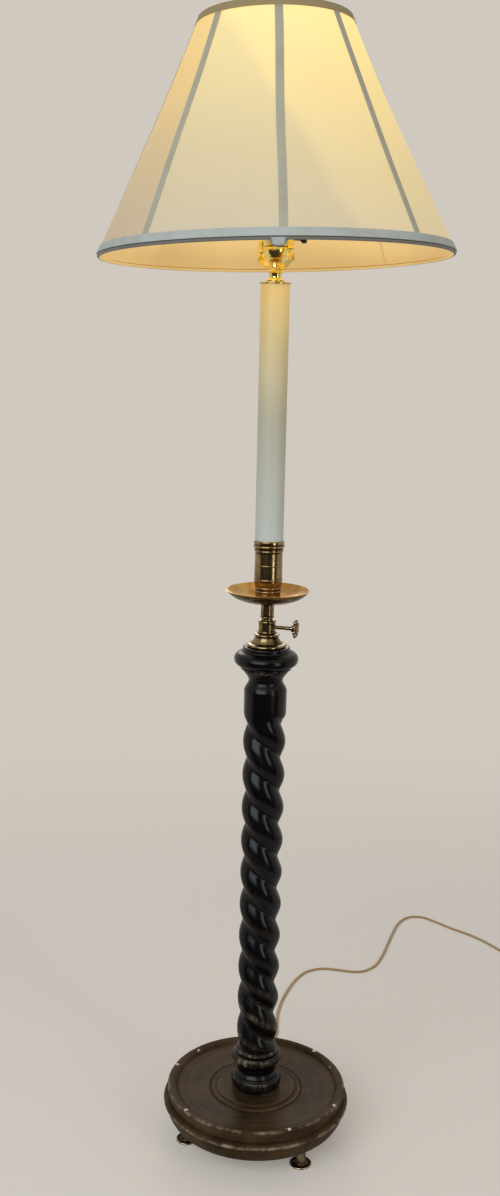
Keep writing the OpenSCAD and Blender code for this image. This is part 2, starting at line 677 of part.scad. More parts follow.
module candle_cup() {
    r = cup_d / 2;
    floor_t = 4;
    seat_r = candle_d / 2 + 0.1;
    rim_r = seat_r + cup_wall;
    color(brass_aged)
    difference() {
        turned(concat([[0, 0], [r - 1.7, 0], [r - 1.7, 10], [r - 2.1, 12.4]],
            arc(r - 2.3, 15, 1.3, -60, 60, 4), [[r - 1.6, 17.6]],
            arc(r - 1.5, 20, 1.2, -60, 60, 4), [[r - 0.7, 22.6], [r + 0.1, 28]],
            arc(r, 31, 0.9, -80, 80, 4), [[r, 33], [r - 0.2, 49.8]], arc(r - 0.3, 50.6, 0.5, -60, 60, 3),
            [[r - 0.2, 51.4], [r - 0.5, cup_h - 16]], arc(r + 0.3, cup_h - 14.2, 0.8, -70, 70, 4),
            [[rim_r - 0.3, cup_h - 12.4], [rim_r - 0.3, cup_h - 10.6]],
            arc(rim_r - 0.2, cup_h - 8, 1.9, -70, 70, 6), [[rim_r + 0.1, cup_h - 5.4],
            [rim_r + 0.9, cup_h - 4.4], [rim_r + 0.9, cup_h - 1.4], [rim_r + 0.4, cup_h - 0.4],
            [rim_r + 0.1, cup_h], [0, cup_h]]), cup_z);
        translate([0, 0, cup_z - 1]) cylinder(r = pipe_hole, h = cup_h, $fn = round_fn);
        translate([0, 0, cup_z + floor_t]) turned([[0, 0], [r - 4, 0], [r - 4, 12], [r - 2.6, 24],
            [r - 2.6, cup_h], [0, cup_h]]);
        translate([0, 0, candle_z]) cylinder(r = seat_r, h = candle_seat + 1, $fn = round_fn);
    }
}

// ---- candle ----

module candle_sleeve() {
    color(ivory) tube(candle_d / 2, candle_d / 2 - candle_wall, candle_h, candle_z);
}

module candle_cap() {
    r = candle_cap_d / 2;
    spigot_r = candle_d / 2 - candle_wall - 0.1;
    color(brass_bright)
    difference() {
        turned([[0, -5], [spigot_r, -5], [spigot_r, 0], [r, 0], [r, candle_cap_t - 0.4],
            [r - 0.6, candle_cap_t], [12.6, candle_cap_t + 0.3], [11.4, candle_cap_t + 1.2],
            [11.4, candle_cap_t + 2.8], [9.4, candle_cap_t + cap_ring_h], [0, candle_cap_t + cap_ring_h]],
            candle_top);
        translate([0, 0, candle_top - 6]) cylinder(r = pipe_hole, h = 16, $fn = round_fn);
    }
}

module lamp_pipe() {
    color(steel) tube(pipe_r, pipe_bore / 2, socket_z + 6 - (rod_top - plug_len), rod_top - plug_len);
}

module flared_nut() {
    color(brass_bright)
    difference() {
        turned([[0, 0], [7.4, 0], [8, 0.8], [8, 2.6], [9, coupling_h - 5.2], [10.4, coupling_h - 3.4],
            [10.7, coupling_h - 2.4], [10.1, coupling_h - 1.4], [8.9, coupling_h - 1.1],
            [8.9, coupling_h], [0, coupling_h]],
            coupling_z);
        translate([0, 0, coupling_z - 1]) cylinder(r = pipe_hole, h = coupling_h + 2, $fn = round_fn);
    }
}

// ---- harp ----

module in_harp_plane() {
    rotate([0, 0, harp_azimuth]) children();
}

saddle_rise = 11;
saddle_shoulder = 18.5;
tab_top = 25.5;
tab_w = 4.6;

module harp_saddle() {
    out = harp_leg_r + saddle_t / 2;
    foot_half = 11.5;
    color(brass_bright)
    in_harp_plane()
    translate([0, 0, saddle_z])
    difference() {
        translate([0, saddle_w / 2, 0]) rotate([90, 0, 0]) linear_extrude(saddle_w)
        polygon([[-foot_half, 0], [foot_half, 0], [out, saddle_rise], [out, tab_top],
            [out - saddle_t, tab_top], [out - saddle_t, saddle_rise + 0.5], [foot_half - 0.5, saddle_t],
            [0.5 - foot_half, saddle_t], [saddle_t - out, saddle_rise + 0.5], [saddle_t - out, tab_top],
            [-out, tab_top], [-out, saddle_rise]]);
        translate([0, 0, -1]) cylinder(r = pipe_hole, h = 4, $fn = round_fn);
        for (s = [-1, 1]) translate([-out - 1, s > 0 ? tab_w / 2 : -saddle_w, saddle_shoulder])
            cube([2 * out + 2, saddle_w - tab_w / 2, tab_top]);
    }
}

// The shade and harp lean as one about the middle of the shade's lower ring
module leaning() {
    translate([0, 0, shade_z]) rotate([0, -lean_side, 0]) rotate([-lean_front, 0, 0])
    translate([0, 0, -shade_z]) children();
}

ferrule_z = saddle_z + saddle_shoulder + 4;
ferrule_h = 15;
ferrule_bore = 3.3;

module harp_ferrules() {
    color(brass_bright)
    leaning() in_harp_plane()
    for (s = [-1, 1]) translate([s * harp_leg_r, 0, ferrule_z])
    difference() {
        turned([[0, 0], [4.9, 0], [5.1, 1], [4.3, 2.4], [4.1, ferrule_h - 1.5], [3.6, ferrule_h],
            [0, ferrule_h]]);
        translate([0, 0, -1]) cylinder(r = ferrule_bore, h = ferrule_h, $fn = small_fn);
        translate([0, 0, -1]) cylinder(r = harp_wire_d / 2 + seat_fit, h = ferrule_h + 2, $fn = small_fn);
    }
}

// Half of the harp: up from a ferrule, out to its widest, then a quarter ellipse to the top
function harp_half() = let (
    low = saddle_z + tab_top + 1.5, knee = ferrule_z + ferrule_h + 2,
    wide = saddle_z + harp_h * 0.56, top = hub_z - 3 - harp_wire_d / 2) concat(
    [[harp_leg_r, low]],
    [for (i = [0:7]) [harp_leg_r + (harp_half_w - harp_leg_r) * (1 - cos(180 * i / 8)) / 2,
        knee + (wide - knee) * i / 8]],
    [for (i = [0:8]) [harp_half_w * cos(90 * i / 9), wide + (top - wide) * sin(90 * i / 9)]]);

module harp_wire() {
    half = harp_half();
    top = hub_z - 3 - harp_wire_d / 2;
    path = concat([for (p = half) [p.x, 0, p.y]], [[0, 0, top]],
        [for (k = [len(half) - 1:-1:0]) [-half[k].x, 0, half[k].y]]);
    color(brass_bright)
    leaning() in_harp_plane()
    skin(sweep_rings(path, circle_section(harp_wire_d / 2, 10), [0, 1, 0]));
}

stud_r = 3.1;

module harp_stud() {
    color(brass_bright)
    leaning()
    union() {
        translate([0, 0, hub_z - 2.8]) cylinder(r = 8, h = 2.6, $fn = small_fn);
        translate([0, 0, hub_z - 1]) cylinder(r = stud_r, h = 13, $fn = small_fn);
    }
}

// ---- socket and bulb ----

module socket_cap() {
    r = socket_d / 2 + 0.9;
    h = socket_cap_h;
    color(brass_bright)
    difference() {
        turned([[0, 0], [7.4, 0], [7.8, 0.6], [7.8, 8], [9, 9.6], [13.6, 11.6], [r - 1.4, 16],
            [r - 0.2, 19.6], [r, h - 3], [r, h], [0, h]], socket_z);
        translate([0, 0, socket_z]) turned([[0, 3], [6.6, 3], [6.6, 9.4], [8.4, 10.8], [13, 12.8],
            [r - 2.4, 17], [r - 1.2, 20], [socket_d / 2 + 0.1, h - 3], [socket_d / 2 + 0.1, h + 1],
            [0, h + 1]]);
        translate([0, 0, socket_z - 1]) cylinder(r = pipe_hole, h = 6, $fn = round_fn);
    }
}

module at_switch() {
    translate([0, 0, socket_z + switch_rise]) rotate([0, 90, 0]) children();
}

module socket_shell() {
    r = socket_d / 2;
    color(brass_bright)
    difference() {
        turned([[r - 0.6, 0], [r, 0], [r, socket_shell_h - 3], [r + 0.7, socket_shell_h - 1.6],
            [r + 0.2, socket_shell_h], [r - 0.6, socket_shell_h]], shell_z);
        at_switch() cylinder(r = 3, h = r + 4, $fn = small_fn);
    }
}

liner_r = socket_d / 2 - 0.7;

module socket_liner() {
    color(card)
    difference() {
        tube(liner_r, liner_r - 0.6, socket_shell_h - 4, shell_z + 1.5);
        at_switch() cylinder(r = 3, h = liner_r + 4, $fn = small_fn);
    }
}

core_h = 19;
core_z = shell_z + 1.5;
core_r = liner_r - 0.8;
screw_z = core_z + core_h;
screw_r = 13.6;

module socket_core() {
    color(black)
    difference() {
        translate([0, 0, core_z]) cylinder(r = core_r, h = core_h, $fn = round_fn);
        translate([0, 0, core_z - 1]) cylinder(r = 4.2, h = 5, $fn = small_fn);
        at_switch() translate([0, 0, core_r - 6]) cylinder(r = switch_shaft_r + rod_fit, h = 10, $fn = small_fn);
        for (s = [-1, 1]) translate([s * (core_r - 2), -10, core_z - 1]) cube([5, 5, 8], center = true);
    }
}

module screw_shell() {
    color(brass_bright) tube(screw_r, screw_r - 0.4, shell_top - 4 - screw_z, screw_z);
}

module centre_contact() {
    color(brass_bright)
    translate([0, 0, screw_z])
    difference() {
        cylinder(r = 4, h = 1.6, $fn = small_fn);
        translate([1.4, -5, 0.8]) cube([5, 10, 2]);
    }
}

switch_shaft_r = 1.6;
switch_grip = 3;
knob_h = 8.5;

module switch_shaft() {
    start = core_r - 5.8;
    color(black)
    at_switch() translate([0, 0, start])
    cylinder(r = switch_shaft_r, h = switch_reach - knob_h + switch_grip - start, $fn = small_fn);
}

module switch_knob() {
    r = switch_knob_d / 2;
    h = knob_h;
    color(black)
    at_switch() translate([0, 0, switch_reach - h])
    difference() {
        union() {
            turned([[0, 0], [2.6, 0], [3.2, 1.4], [r, 2], [r, h - 0.8], [r - 0.8, h], [0, h]]);
            for (k = [0:7]) rotate([0, 0, 45 * k]) translate([r - 0.35, -0.5, 2.4]) cube([0.7, 1, h - 3.6]);
        }
        translate([0, 0, -1]) cylinder(r = switch_shaft_r + seat_fit, h = switch_grip + 1.1, $fn = small_fn);
    }
}

bulb_z = screw_z + 2;
bulb_screw_r = 13;
bulb_neck_z = 22;

module bulb_base() {
    color(steel)
    turned([[0, 0], [3.6, 0], [4.6, 1.2], [8, 2.2], [bulb_screw_r, 4], [bulb_screw_r, bulb_neck_z],
        [0, bulb_neck_z]], bulb_z);
}

// Outline of the bulb's glass as height shares and radii shares
bulb_shape = [[0.43, 0], [0.44, 0.1], [0.55, 0.24], [0.77, 0.4], [0.93, 0.52], [1, 0.66], [0.96, 0.79],
    [0.8, 0.91], [0.5, 0.98], [0.2, 1]];

module bulb_glass() {
    glass_t = 1;
    outer = [for (p = bulb_shape) [p.x * bulb_d / 2, p.y * bulb_glass_h]];
    inner = [for (k = [len(outer) - 1:-1:0]) [max(outer[k].x - glass_t, 2),
        max(min(outer[k].y, bulb_glass_h - glass_t), glass_t)]];
    color(ivory)
    turned(concat([[0, 0]], outer, [[0, bulb_glass_h], [0, bulb_glass_h - glass_t]], inner, [[0, glass_t]]),
        bulb_z + bulb_neck_z + seat_fit);
}

// Two round conductors side by side, as in the flat cord
module twin_lead(h) {
    offset_x = cord_w / 4;
    linear_extrude(h) for (s = [-1, 1]) translate([s * (offset_x - 0.06), 0])
        circle(r = cord_t / 2 - 0.02, $fn = small_fn);
}

module upper_lead() {
    color(cord_gold)
    translate([0, 0, rod_low + 2]) twin_lead(core_z + 1.5 - rod_low);
}

// ---- shade ----

// Radius of the shade's side at a share of its height, between the lower and upper edges. The side runs
// straight from one level to the next, so that bands, tapes and ribs follow it.
shade_levels = 10;
function shade_level_r(t) = (shade_bottom_d / 2) * (1 - t) + (shade_top_d / 2) * t
    - shade_bow * sin(180 * pow(t, 1.5));
function shade_r(t) = let (k = min(floor(t * shade_levels), shade_levels - 1), u = t * shade_levels - k)
    shade_level_r(k / shade_levels) * (1 - u) + shade_level_r((k + 1) / shade_levels) * u;
function shade_side(grow, t0, t1) = [for (t = concat([t0],
    [for (k = [1:shade_levels - 1]) if (k / shade_levels > t0 && k / shade_levels < t1) k / shade_levels],
    [t1])) [shade_r(t) + grow, shade_z + shade_h * t]];

function flip(p) = [for (k = [len(p) - 1:-1:0]) p[k]];

module shade_fabric() {
    color(silk)
    leaning() turned(concat(shade_side(0, 0, 1), flip(shade_side(-fabric_t, 0, 1))));
}

// Share of the shade's height that a band or gap of the given height takes
function share(h) = h / shade_h;

band_t = 0.9;
cloth_gap = 0.3;

module rib_tapes() {
    t0 = share(bottom_trim_h + 0.6);
    t1 = 1 - share(top_trim_h + 0.6);
    half = rib_tape_w / 2;
    color(tape_grey)
    leaning()
    for (k = [0:rib_n - 1]) rotate([0, 0, 360 * k / rib_n - 90 + rib_turn])
        skin([for (p = shade_side(cloth_gap, t0, t1)) let (drop = 0.5 * half * half / p.x)
            [[p.x - drop + 0.1, -half, p.y], [p.x, 0, p.y], [p.x - drop + 0.1, half, p.y],
            [p.x - drop + band_t, half, p.y], [p.x + band_t, 0, p.y],
            [p.x - drop + band_t, -half, p.y]]]);
}

module top_trim() {
    rise = 1.5;
    t0 = 1 - share(top_trim_h);
    r0 = shade_r(t0) + cloth_gap;
    r1 = shade_r(1) + cloth_gap;
    z0 = shade_z + shade_h * t0;
    color(tape_grey)
    leaning()
    turned([[r0, z0], [r0 + band_t, z0], [r1 + band_t, shade_top + rise - 0.6],
        [r1 + band_t - 0.6, shade_top + rise], [r1 - fabric_t - 3, shade_top + rise],
        [r1 - fabric_t - 3, shade_top + 0.3], [r1, shade_top + 0.3]]);
}

ring_wire_r = 1.5;
ring_drop = 2.2;
roll_r = 2.5;
bottom_ring_r = shade_bottom_d / 2 - 1.9;

module bottom_trim() {
    band = shade_r(share(bottom_trim_h)) + cloth_gap;
    edge = shade_bottom_d / 2 + cloth_gap;
    z = shade_z;
    wrap = ring_wire_r + 0.15;
    color(tape_grey)
    leaning()
    turned(concat([[band, z + bottom_trim_h], [edge, z - 0.4]],
        [[bottom_ring_r + wrap, z - ring_drop + 1]],
        arc(bottom_ring_r, z - ring_drop, wrap, 0, -200, 10),
        arc(bottom_ring_r, z - ring_drop, roll_r, -200, 0, 10),
        [[edge + band_t, z - 0.6], [band + band_t, z + bottom_trim_h]]));
}

module shade_bottom_ring() {
    color(steel)
    leaning() translate([0, 0, shade_z - ring_drop])
    rotate_extrude($fn = round_fn) translate([bottom_ring_r, 0]) circle(r = ring_wire_r, $fn = 24);
}

top_ring_wire_r = 1.6;
top_ring_r = shade_top_d / 2 - fabric_t - 2;
top_ring_z = shade_top - 2;

module shade_top_ring() {
    color(steel)
    leaning() translate([0, 0, top_ring_z])
    rotate_extrude($fn = round_fn) translate([top_ring_r, 0]) circle(r = top_ring_wire_r, $fn = 24);
}

module shade_ribs() {
    rib_r = 1.1;
    low = share(1);
    high = 1 - share(5);
    color(steel)
    leaning()
    for (k = [0:rib_n - 1]) rotate([0, 0, 360 * k / rib_n - 90 + rib_turn])
        skin(sweep_rings([for (p = shade_side(-fabric_t - rib_r - cloth_gap, low, high)) [p.x, 0, p.y]],
            circle_section(rib_r, 6), [0, 1, 0]));
}

hub_t = 1.5;
fitter_arms = 3;

module shade_fitter() {
    arm_r = 1.7;
    inner = 8;
    outer = top_ring_r - top_ring_wire_r - 0.1;
    rise = top_ring_z - hub_z - hub_t / 2;
    run = outer - inner;
    color(brass_bright)
    leaning() translate([0, 0, hub_z])
    difference() {
        union() {
            cylinder(r = 12, h = hub_t, $fn = small_fn);
            for (k = [0:fitter_arms - 1]) rotate([0, 0, 360 * k / fitter_arms + 30])
                translate([inner, 0, hub_t / 2]) rotate([0, atan2(run, rise), 0])
                cylinder(r = arm_r, h = norm([run, rise]), $fn = 24);
        }
        translate([0, 0, -2]) cylinder(r = stud_r + 0.1, h = 8, $fn = small_fn);
    }
}

module finial() {
    z = hub_z + hub_t + 0.3;
    h = finial_h;
    color(brass_bright)
    leaning() translate([0, 0, z])
    difference() {
        turned(concat([[0, 0], [6.5, 0], [7, 0.8], [7, 2.6], [5.2, 4], [4.4, 6], [4.8, 8]],
            arc(0, h - 13.5, 7.4, -50, 62, 8), [[2.4, h - 5.4], [2.6, h - 4], [1.6, h - 1], [0, h]]));
        translate([0, 0, -1]) cylinder(r = stud_r + rod_fit, h = 12.5, $fn = small_fn);
    }
}

// ---- cord and plug ----

module inner_lead() {
    color(cord_gold)
    skin(sweep_rings(smooth_path(lead_route, 2), cord_section(), [1, 0, 0]));
}

module cord_bushing() {
    bore = 3.1;
    inner_end = weight_d / 2 + 4;
    color(black)
    rotate([-90, 0, 0]) translate([0, -exit_z, 0])
    turned([[bore, inner_end], [bushing_r, inner_end], [bushing_r, skirt_r], [bushing_flange_r, skirt_r],
        [bushing_flange_r, skirt_r + 1.6], [5.8, skirt_r + 2.4], [4.4, nose_end - 1], [4, nose_end],
        [bore, nose_end]]);
}

module cord_run() {
    color(cord_gold)
    skin(sweep_rings(smooth_path(cord_route, 2), cord_section()));
}

coil_pitch = cord_w + coil_gap;
layer_rise = cord_t + coil_gap;
coil_steps = 24;
spiral_end = coil_turns * 360;

// Radius and height of the coil after turning by a degrees: in, half a turn of climb, then out again.
// The climbing half turn draws in a little further, clear of the turns that it passes.
climb_draw = 0.15;
function climb_share(a) = (a - spiral_end) / 180;
function coil_radius(a) = coil_r - coil_pitch * (a <= spiral_end ? a / 360
    : a <= spiral_end + 180 ? coil_turns + climb_draw * sin(180 * climb_share(a))
    : 2 * coil_turns - (a - 180) / 360);
function coil_height(a) = cord_rest + layer_rise * ease(climb_share(a));
coil_total = 2 * spiral_end + 180;
function coil_point(a) = [coil_centre.x - coil_radius(a) * cos(a), coil_centre.y - coil_radius(a) * sin(a),
    coil_height(a)];
coil_path = concat([[coil_centre.x - coil_r, coil_centre.y + cord_w, cord_rest]],
    [for (k = [0:coil_total * coil_steps / 360]) coil_point(k * 360 / coil_steps)],
    [for (s = [plug_lead / 2, plug_lead]) [coil_centre.x + coil_r, coil_centre.y + s, cord_rest + layer_rise]]);

// Least gap between parts of the coil more than a third of a turn apart, from the six-sided section's
// flat and slanted faces
coil_slant = unit([cord_t, 2 * cord_corner]);
function coil_gap_at(p, q) = let (across = norm([p.x - q.x, p.y - q.y]), up = abs(p.z - q.z))
    max(up - cord_t, coil_slant * [across - cord_w, up]);
coil_least_gap = min([for (i = [0:len(coil_path) - 9], j = [i + 8:len(coil_path) - 1])
    coil_gap_at(coil_path[i], coil_path[j])]);
function steps_of(p) = [for (k = [1:len(p) - 1]) norm(p[k] - p[k - 1])];
function total(v, k = 0) = k < len(v) ? v[k] + total(v, k + 1) : 0;

module cord_coil() {
    echo(coil_least_gap = coil_least_gap, coil_length = total(steps_of(coil_path)),
        run_length = total(steps_of(smooth_path(cord_route, 2))));
    color(cord_gold)
    skin(sweep_rings(coil_path, coil_section()));
}

// Places children at the coil's end, with +Y the way the cord runs on
module at_plug() {
    translate([coil_centre.x + coil_r, coil_centre.y + plug_lead, 0]) children();
}

module plug_body() {
    nose = 7;
    color(cord_gold)
    at_plug()
    difference() {
        union() {
            translate([-cord_w / 2 - 1.6, 0, 0.4]) cube([cord_w + 3.2, nose + 1, plug_t - 2.4]);
            translate([0, nose, 0]) linear_extrude(plug_t)
            polygon([[-plug_w / 2 + 6, 0], [plug_w / 2 - 6, 0], [plug_w / 2, 8], [plug_w / 2, plug_l - nose - 2],
                [plug_w / 2 - 2, plug_l - nose], [2 - plug_w / 2, plug_l - nose],
                [-plug_w / 2, plug_l - nose - 2], [-plug_w / 2, 8]]);
        }
        for (s = [-1, 1]) translate([s * blade_x - blade_t / 2 - seat_fit, plug_l - 6, (plug_t - blade_h) / 2
            - seat_fit]) cube([blade_t + 2 * seat_fit, 8, blade_h + 2 * seat_fit]);
    }
}

blade_x = 6.35;
blade_t = 1.5;
blade_h = 6.3;
blade_out = 15.9;

module plug_blades() {
    color(brass_bright)
    at_plug()
    for (s = [-1, 1]) translate([s * blade_x - blade_t / 2, plug_l - 6, (plug_t - blade_h) / 2])
    difference() {
        cube([blade_t, blade_out + 6, blade_h]);
        translate([-1, blade_out + 2.6, blade_h / 2]) rotate([0, 90, 0])
        cylinder(r = 1.55, h = blade_t + 2, $fn = 24);
    }
}

feet();
foot_screws();
base_disc();
base_weight();
weight_screws();
lock_washer();
lock_nut();
column_foot();
twist_column();
column_neck();
capital();
tie_tube();
bell_collar();
clamp_pad();
thumbscrew();
rod_bush();
height_rod();
rod_plug();
pan_sleeve();
drip_pan();
candle_cup();
candle_sleeve();
candle_cap();
lamp_pipe();
flared_nut();
harp_saddle();
harp_ferrules();
harp_wire();
harp_stud();
socket_cap();
socket_shell();
socket_liner();
socket_core();
screw_shell();
centre_contact();
switch_shaft();
switch_knob();
bulb_base();
bulb_glass();
upper_lead();
shade_fitter();
shade_top_ring();
shade_bottom_ring();
shade_ribs();
shade_fabric();
rib_tapes();
top_trim();
bottom_trim();
finial();
inner_lead();
cord_bushing();
cord_run();
cord_coil();
plug_body();
plug_blades();
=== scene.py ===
"""Looks of a candlestick floor lamp: a turned base, a spiral-twist column, a telescoping brass candle
and a lit fabric shade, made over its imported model. Sizes are in millimetres until a mesh is made."""

import json
import logging
import math
from collections.abc import Sequence
from dataclasses import dataclass
from enum import Enum
from typing import Union

import bmesh
import bpy
import numpy as np
from mathutils import Matrix

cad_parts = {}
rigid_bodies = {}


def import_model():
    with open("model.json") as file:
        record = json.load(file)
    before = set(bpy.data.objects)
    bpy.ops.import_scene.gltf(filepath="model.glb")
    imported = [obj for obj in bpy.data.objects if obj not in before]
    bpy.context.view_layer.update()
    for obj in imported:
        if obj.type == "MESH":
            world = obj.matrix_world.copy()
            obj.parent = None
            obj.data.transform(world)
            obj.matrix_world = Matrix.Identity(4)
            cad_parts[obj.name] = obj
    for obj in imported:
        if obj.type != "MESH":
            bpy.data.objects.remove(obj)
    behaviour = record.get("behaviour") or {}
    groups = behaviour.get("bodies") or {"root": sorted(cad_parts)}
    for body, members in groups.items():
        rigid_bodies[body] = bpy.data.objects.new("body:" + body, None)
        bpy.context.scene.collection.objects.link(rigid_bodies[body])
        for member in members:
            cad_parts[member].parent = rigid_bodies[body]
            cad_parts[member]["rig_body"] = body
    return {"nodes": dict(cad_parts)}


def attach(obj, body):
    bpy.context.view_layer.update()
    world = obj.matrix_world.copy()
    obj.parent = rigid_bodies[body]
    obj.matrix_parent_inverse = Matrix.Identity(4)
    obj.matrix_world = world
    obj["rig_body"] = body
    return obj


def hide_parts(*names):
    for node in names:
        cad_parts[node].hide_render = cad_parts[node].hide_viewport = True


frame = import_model()

MM = 0.001  # metres
SHARP = 38.0  # degrees, past which an edge stays sharp
DOUBLE = 2e-6  # metres, within which two vertices are one
SLIVER = 1e-8  # metres, below which an edge is dissolved
FULL_MARK = 1.1  # radians of turn that mark a corner fully
LOG = logging.getLogger("floor_lamp")
Points = np.ndarray
Colour = tuple[float, float, float, float]


def srgb(red: float, green: float, blue: float) -> Colour:
    """A colour written as 0 to 255, as the linear colour that a shader socket takes.

    Args:
        red, green, blue: the colour as a screen shows it.
    Returns:
        Linear red, green, blue and a full alpha.
    """
    parts = [c / 255 / 12.92 if c / 255 <= 0.04045 else ((c / 255 + 0.055) / 1.055) ** 2.4
             for c in (red, green, blue)]
    return (parts[0], parts[1], parts[2], 1.0)


# ---- shader maths ----


class Field:
    """A number that varies over a surface. Its operators add Math nodes."""

    def __init__(self, graph: "Graph", socket: bpy.types.NodeSocket) -> None:
        """Wraps one output socket of a graph."""
        self.graph = graph
        self.socket = socket

    def join(self, operation: str, first: "Value", second: "Value" = 0.0, clamp: bool = False) -> "Field":
        """One Math node.

        Args:
            operation: the Math node's operation.
            first, second: its two inputs, numbers or fields.
            clamp: whether the result is kept within 0 and 1.
        Returns:
            The node's result.
        """
        return self.graph.field("ShaderNodeMath", {"operation": operation, "use_clamp": clamp},
                                {0: first, 1: second})

    def __add__(self, other: "Value") -> "Field":
        """Sum."""
        return self.join("ADD", self, other)

    __radd__ = __add__

    def __mul__(self, other: "Value") -> "Field":
        """Product."""
        return self.join("MULTIPLY", self, other)

    __rmul__ = __mul__

    def __sub__(self, other: "Value") -> "Field":
        """Difference."""
        return self.join("SUBTRACT", self, other)

    def __rsub__(self, other: "Value") -> "Field":
        """Reflected difference."""
        return self.join("SUBTRACT", other, self)

    def __truediv__(self, other: "Value") -> "Field":
        """Quotient."""
        return self.join("DIVIDE", self, other)

    def __pow__(self, other: "Value") -> "Field":
        """Power."""
        return self.join("POWER", self, other)

    def clamped(self) -> "Field":
        """The field kept within 0 and 1."""
        return self.join("ADD", self, 0.0, clamp=True)

    def step(self, low: float, high: float) -> "Field":
        """A smooth step from 0 at low to 1 at high.

        Args:
            low, high: where the step starts and ends; low may be the larger.
        Returns:
            The step's height.
        """
        node = self.graph.node("ShaderNodeMapRange", {"interpolation_type": "SMOOTHSTEP", "clamp": True},
                               {0: self, 1: low, 2: high, 3: 0.0, 4: 1.0})
        return Field(self.graph, node.outputs[0])


Value = Union[float, Field]


class Graph:
    """The node tree of one material or of the world, which every finish is drawn in."""

    def __init__(self, name: str, world: bool = False) -> None:
        """Starts an empty node tree.

        Args:
            name: the material's or the world's name.
            world: whether it is a world.
        """
        self.block = (bpy.data.worlds if world else bpy.data.materials).new(name)
        self.block.use_nodes = True
        self.tree = self.block.node_tree
        self.tree.nodes.clear()

    def node(self, kind: str, settings: dict, values: dict) -> bpy.types.Node:
        """Adds a node: its settings first, then the values or links of its inputs.

        Args:
            kind: the node's type.
            settings: its properties; "stops" are a ramp's (place, colour) pairs.
            values: for each input, by name or index, a number, a colour, a field or a socket.
        Returns:
            The node.
        """
        made = self.tree.nodes.new(kind)
        for name, value in settings.items():
            if name == "stops":
                ramp = made.color_ramp
                while len(ramp.elements) < len(value):
                    ramp.elements.new(0.5)
                for element, (place, colour) in zip(ramp.elements, value):
                    element.position = place
                    element.color = colour
            else:
                setattr(made, name, value)
        for name, value in values.items():
            socket = made.inputs[name]
            if isinstance(value, Field):
                self.tree.links.new(value.socket, socket)
            elif isinstance(value, bpy.types.NodeSocket):
                self.tree.links.new(value, socket)
            else:
                socket.default_value = value
        return made

    def field(self, kind: str, settings: dict, values: dict, output: int | str = 0) -> Field:
        """One output of a node, made as node() makes it, as a field."""
        return Field(self, self.node(kind, settings, values).outputs[output])

    def place(self, scale: Sequence[float] = (1, 1, 1)) -> bpy.types.NodeSocket:
        """Object coordinates in metres, stretched by scale."""
        at = self.node("ShaderNodeTexCoord", {}, {}).outputs["Object"]
        return self.node("ShaderNodeMapping", {}, {"Vector": at, "Scale": scale}).outputs[0]

    def cloth(self, scale: Sequence[float] = (1, 1, 1)) -> bpy.types.NodeSocket:
        """The piece's own UV map, in metres along and across it, stretched by scale."""
        at = self.node("ShaderNodeTexCoord", {}, {}).outputs["UV"]
        return self.node("ShaderNodeMapping", {}, {"Vector": at, "Scale": scale}).outputs[0]

    def axis(self, index: int) -> Field:
        """One object coordinate, 0 for x, 1 for y and 2 for z, in metres."""
        return self.field("ShaderNodeSeparateXYZ", {}, {0: self.place()}, index)

    def mark(self, name: str) -> Field:
        """A number stored on the mesh, such as its wear."""
        return self.field("ShaderNodeAttribute", {"attribute_name": name}, {}, "Fac")

    def noise(self, at: bpy.types.NodeSocket, scale: float, detail: float = 3.0, rough: float = 0.5) -> Field:
        """Smooth noise about 0.5 at a number of bumps per metre."""
        values = {"Vector": at, "Scale": scale, "Detail": detail, "Roughness": rough}
        return self.field("ShaderNodeTexNoise", {}, values)

    def cells(self, at: bpy.types.NodeSocket, scale: float) -> tuple[Field, Field]:
        """Scattered cells.

        Args:
            at: coordinates.
            scale: cells per metre.
        Returns:
            The distance from each cell's middle, and a chance number for each cell.
        """
        made = self.node("ShaderNodeTexVoronoi", {}, {"Vector": at, "Scale": scale})
        chance = self.field("ShaderNodeSeparateColor", {}, {0: made.outputs["Color"]})
        return Field(self, made.outputs["Distance"]), chance

    def ramp(self, fac: Field, stops: Sequence[tuple[float, Colour]]) -> bpy.types.NodeSocket:
        """A colour that follows a field through stops."""
        return self.node("ShaderNodeValToRGB", {"stops": stops}, {0: fac}).outputs[0]

    def mix(self, fac: Value, low: object, high: object, kind: str = "MIX") -> bpy.types.NodeSocket:
        """Two colours mixed by a field.

        Args:
            fac: the share of the second colour.
            low, high: the colours, or sockets that carry them.
            kind: the blend type.
        Returns:
            The mixed colour.
        """
        settings = {"data_type": "RGBA", "blend_type": kind}
        return self.node("ShaderNodeMix", settings, {0: fac, 6: low, 7: high}).outputs[2]

    def bump(self, height: Field, depth: float) -> bpy.types.NodeSocket:
        """A normal tilted by a height field, whose full step is depth millimetres."""
        values = {"Height": height, "Distance": depth * MM, "Strength": 1.0}
        return self.node("ShaderNodeBump", {}, values).outputs[0]

    def finish(self, **sockets: object) -> bpy.types.Material:
        """Ends the material with one Principled shader.

        Args:
            sockets: its inputs, with underscores for the spaces in their names.
        Returns:
            The material.
        """
        values = {name.replace("_", " "): value for name, value in sockets.items()}
        shader = self.node("ShaderNodeBsdfPrincipled", {}, values)
        self.node("ShaderNodeOutputMaterial", {}, {0: shader.outputs[0]})
        return self.block


# ---- finishes ----


class Slot(Enum):
    """The record's material slots."""

    EBONISED = "ebonised_wood"
    WORN = "worn_wood"
    AGED = "aged_brass"
    BRIGHT = "bright_brass"
    STEEL = "steel"
    IRON = "iron"
    IVORY = "ivory_sleeve"
    SILK = "silk"
    BRAID = "braid"
    BLACK = "black_plastic"
    CARD = "liner_card"
    BULB = "bulb"
    CORD = "cord_jacket"


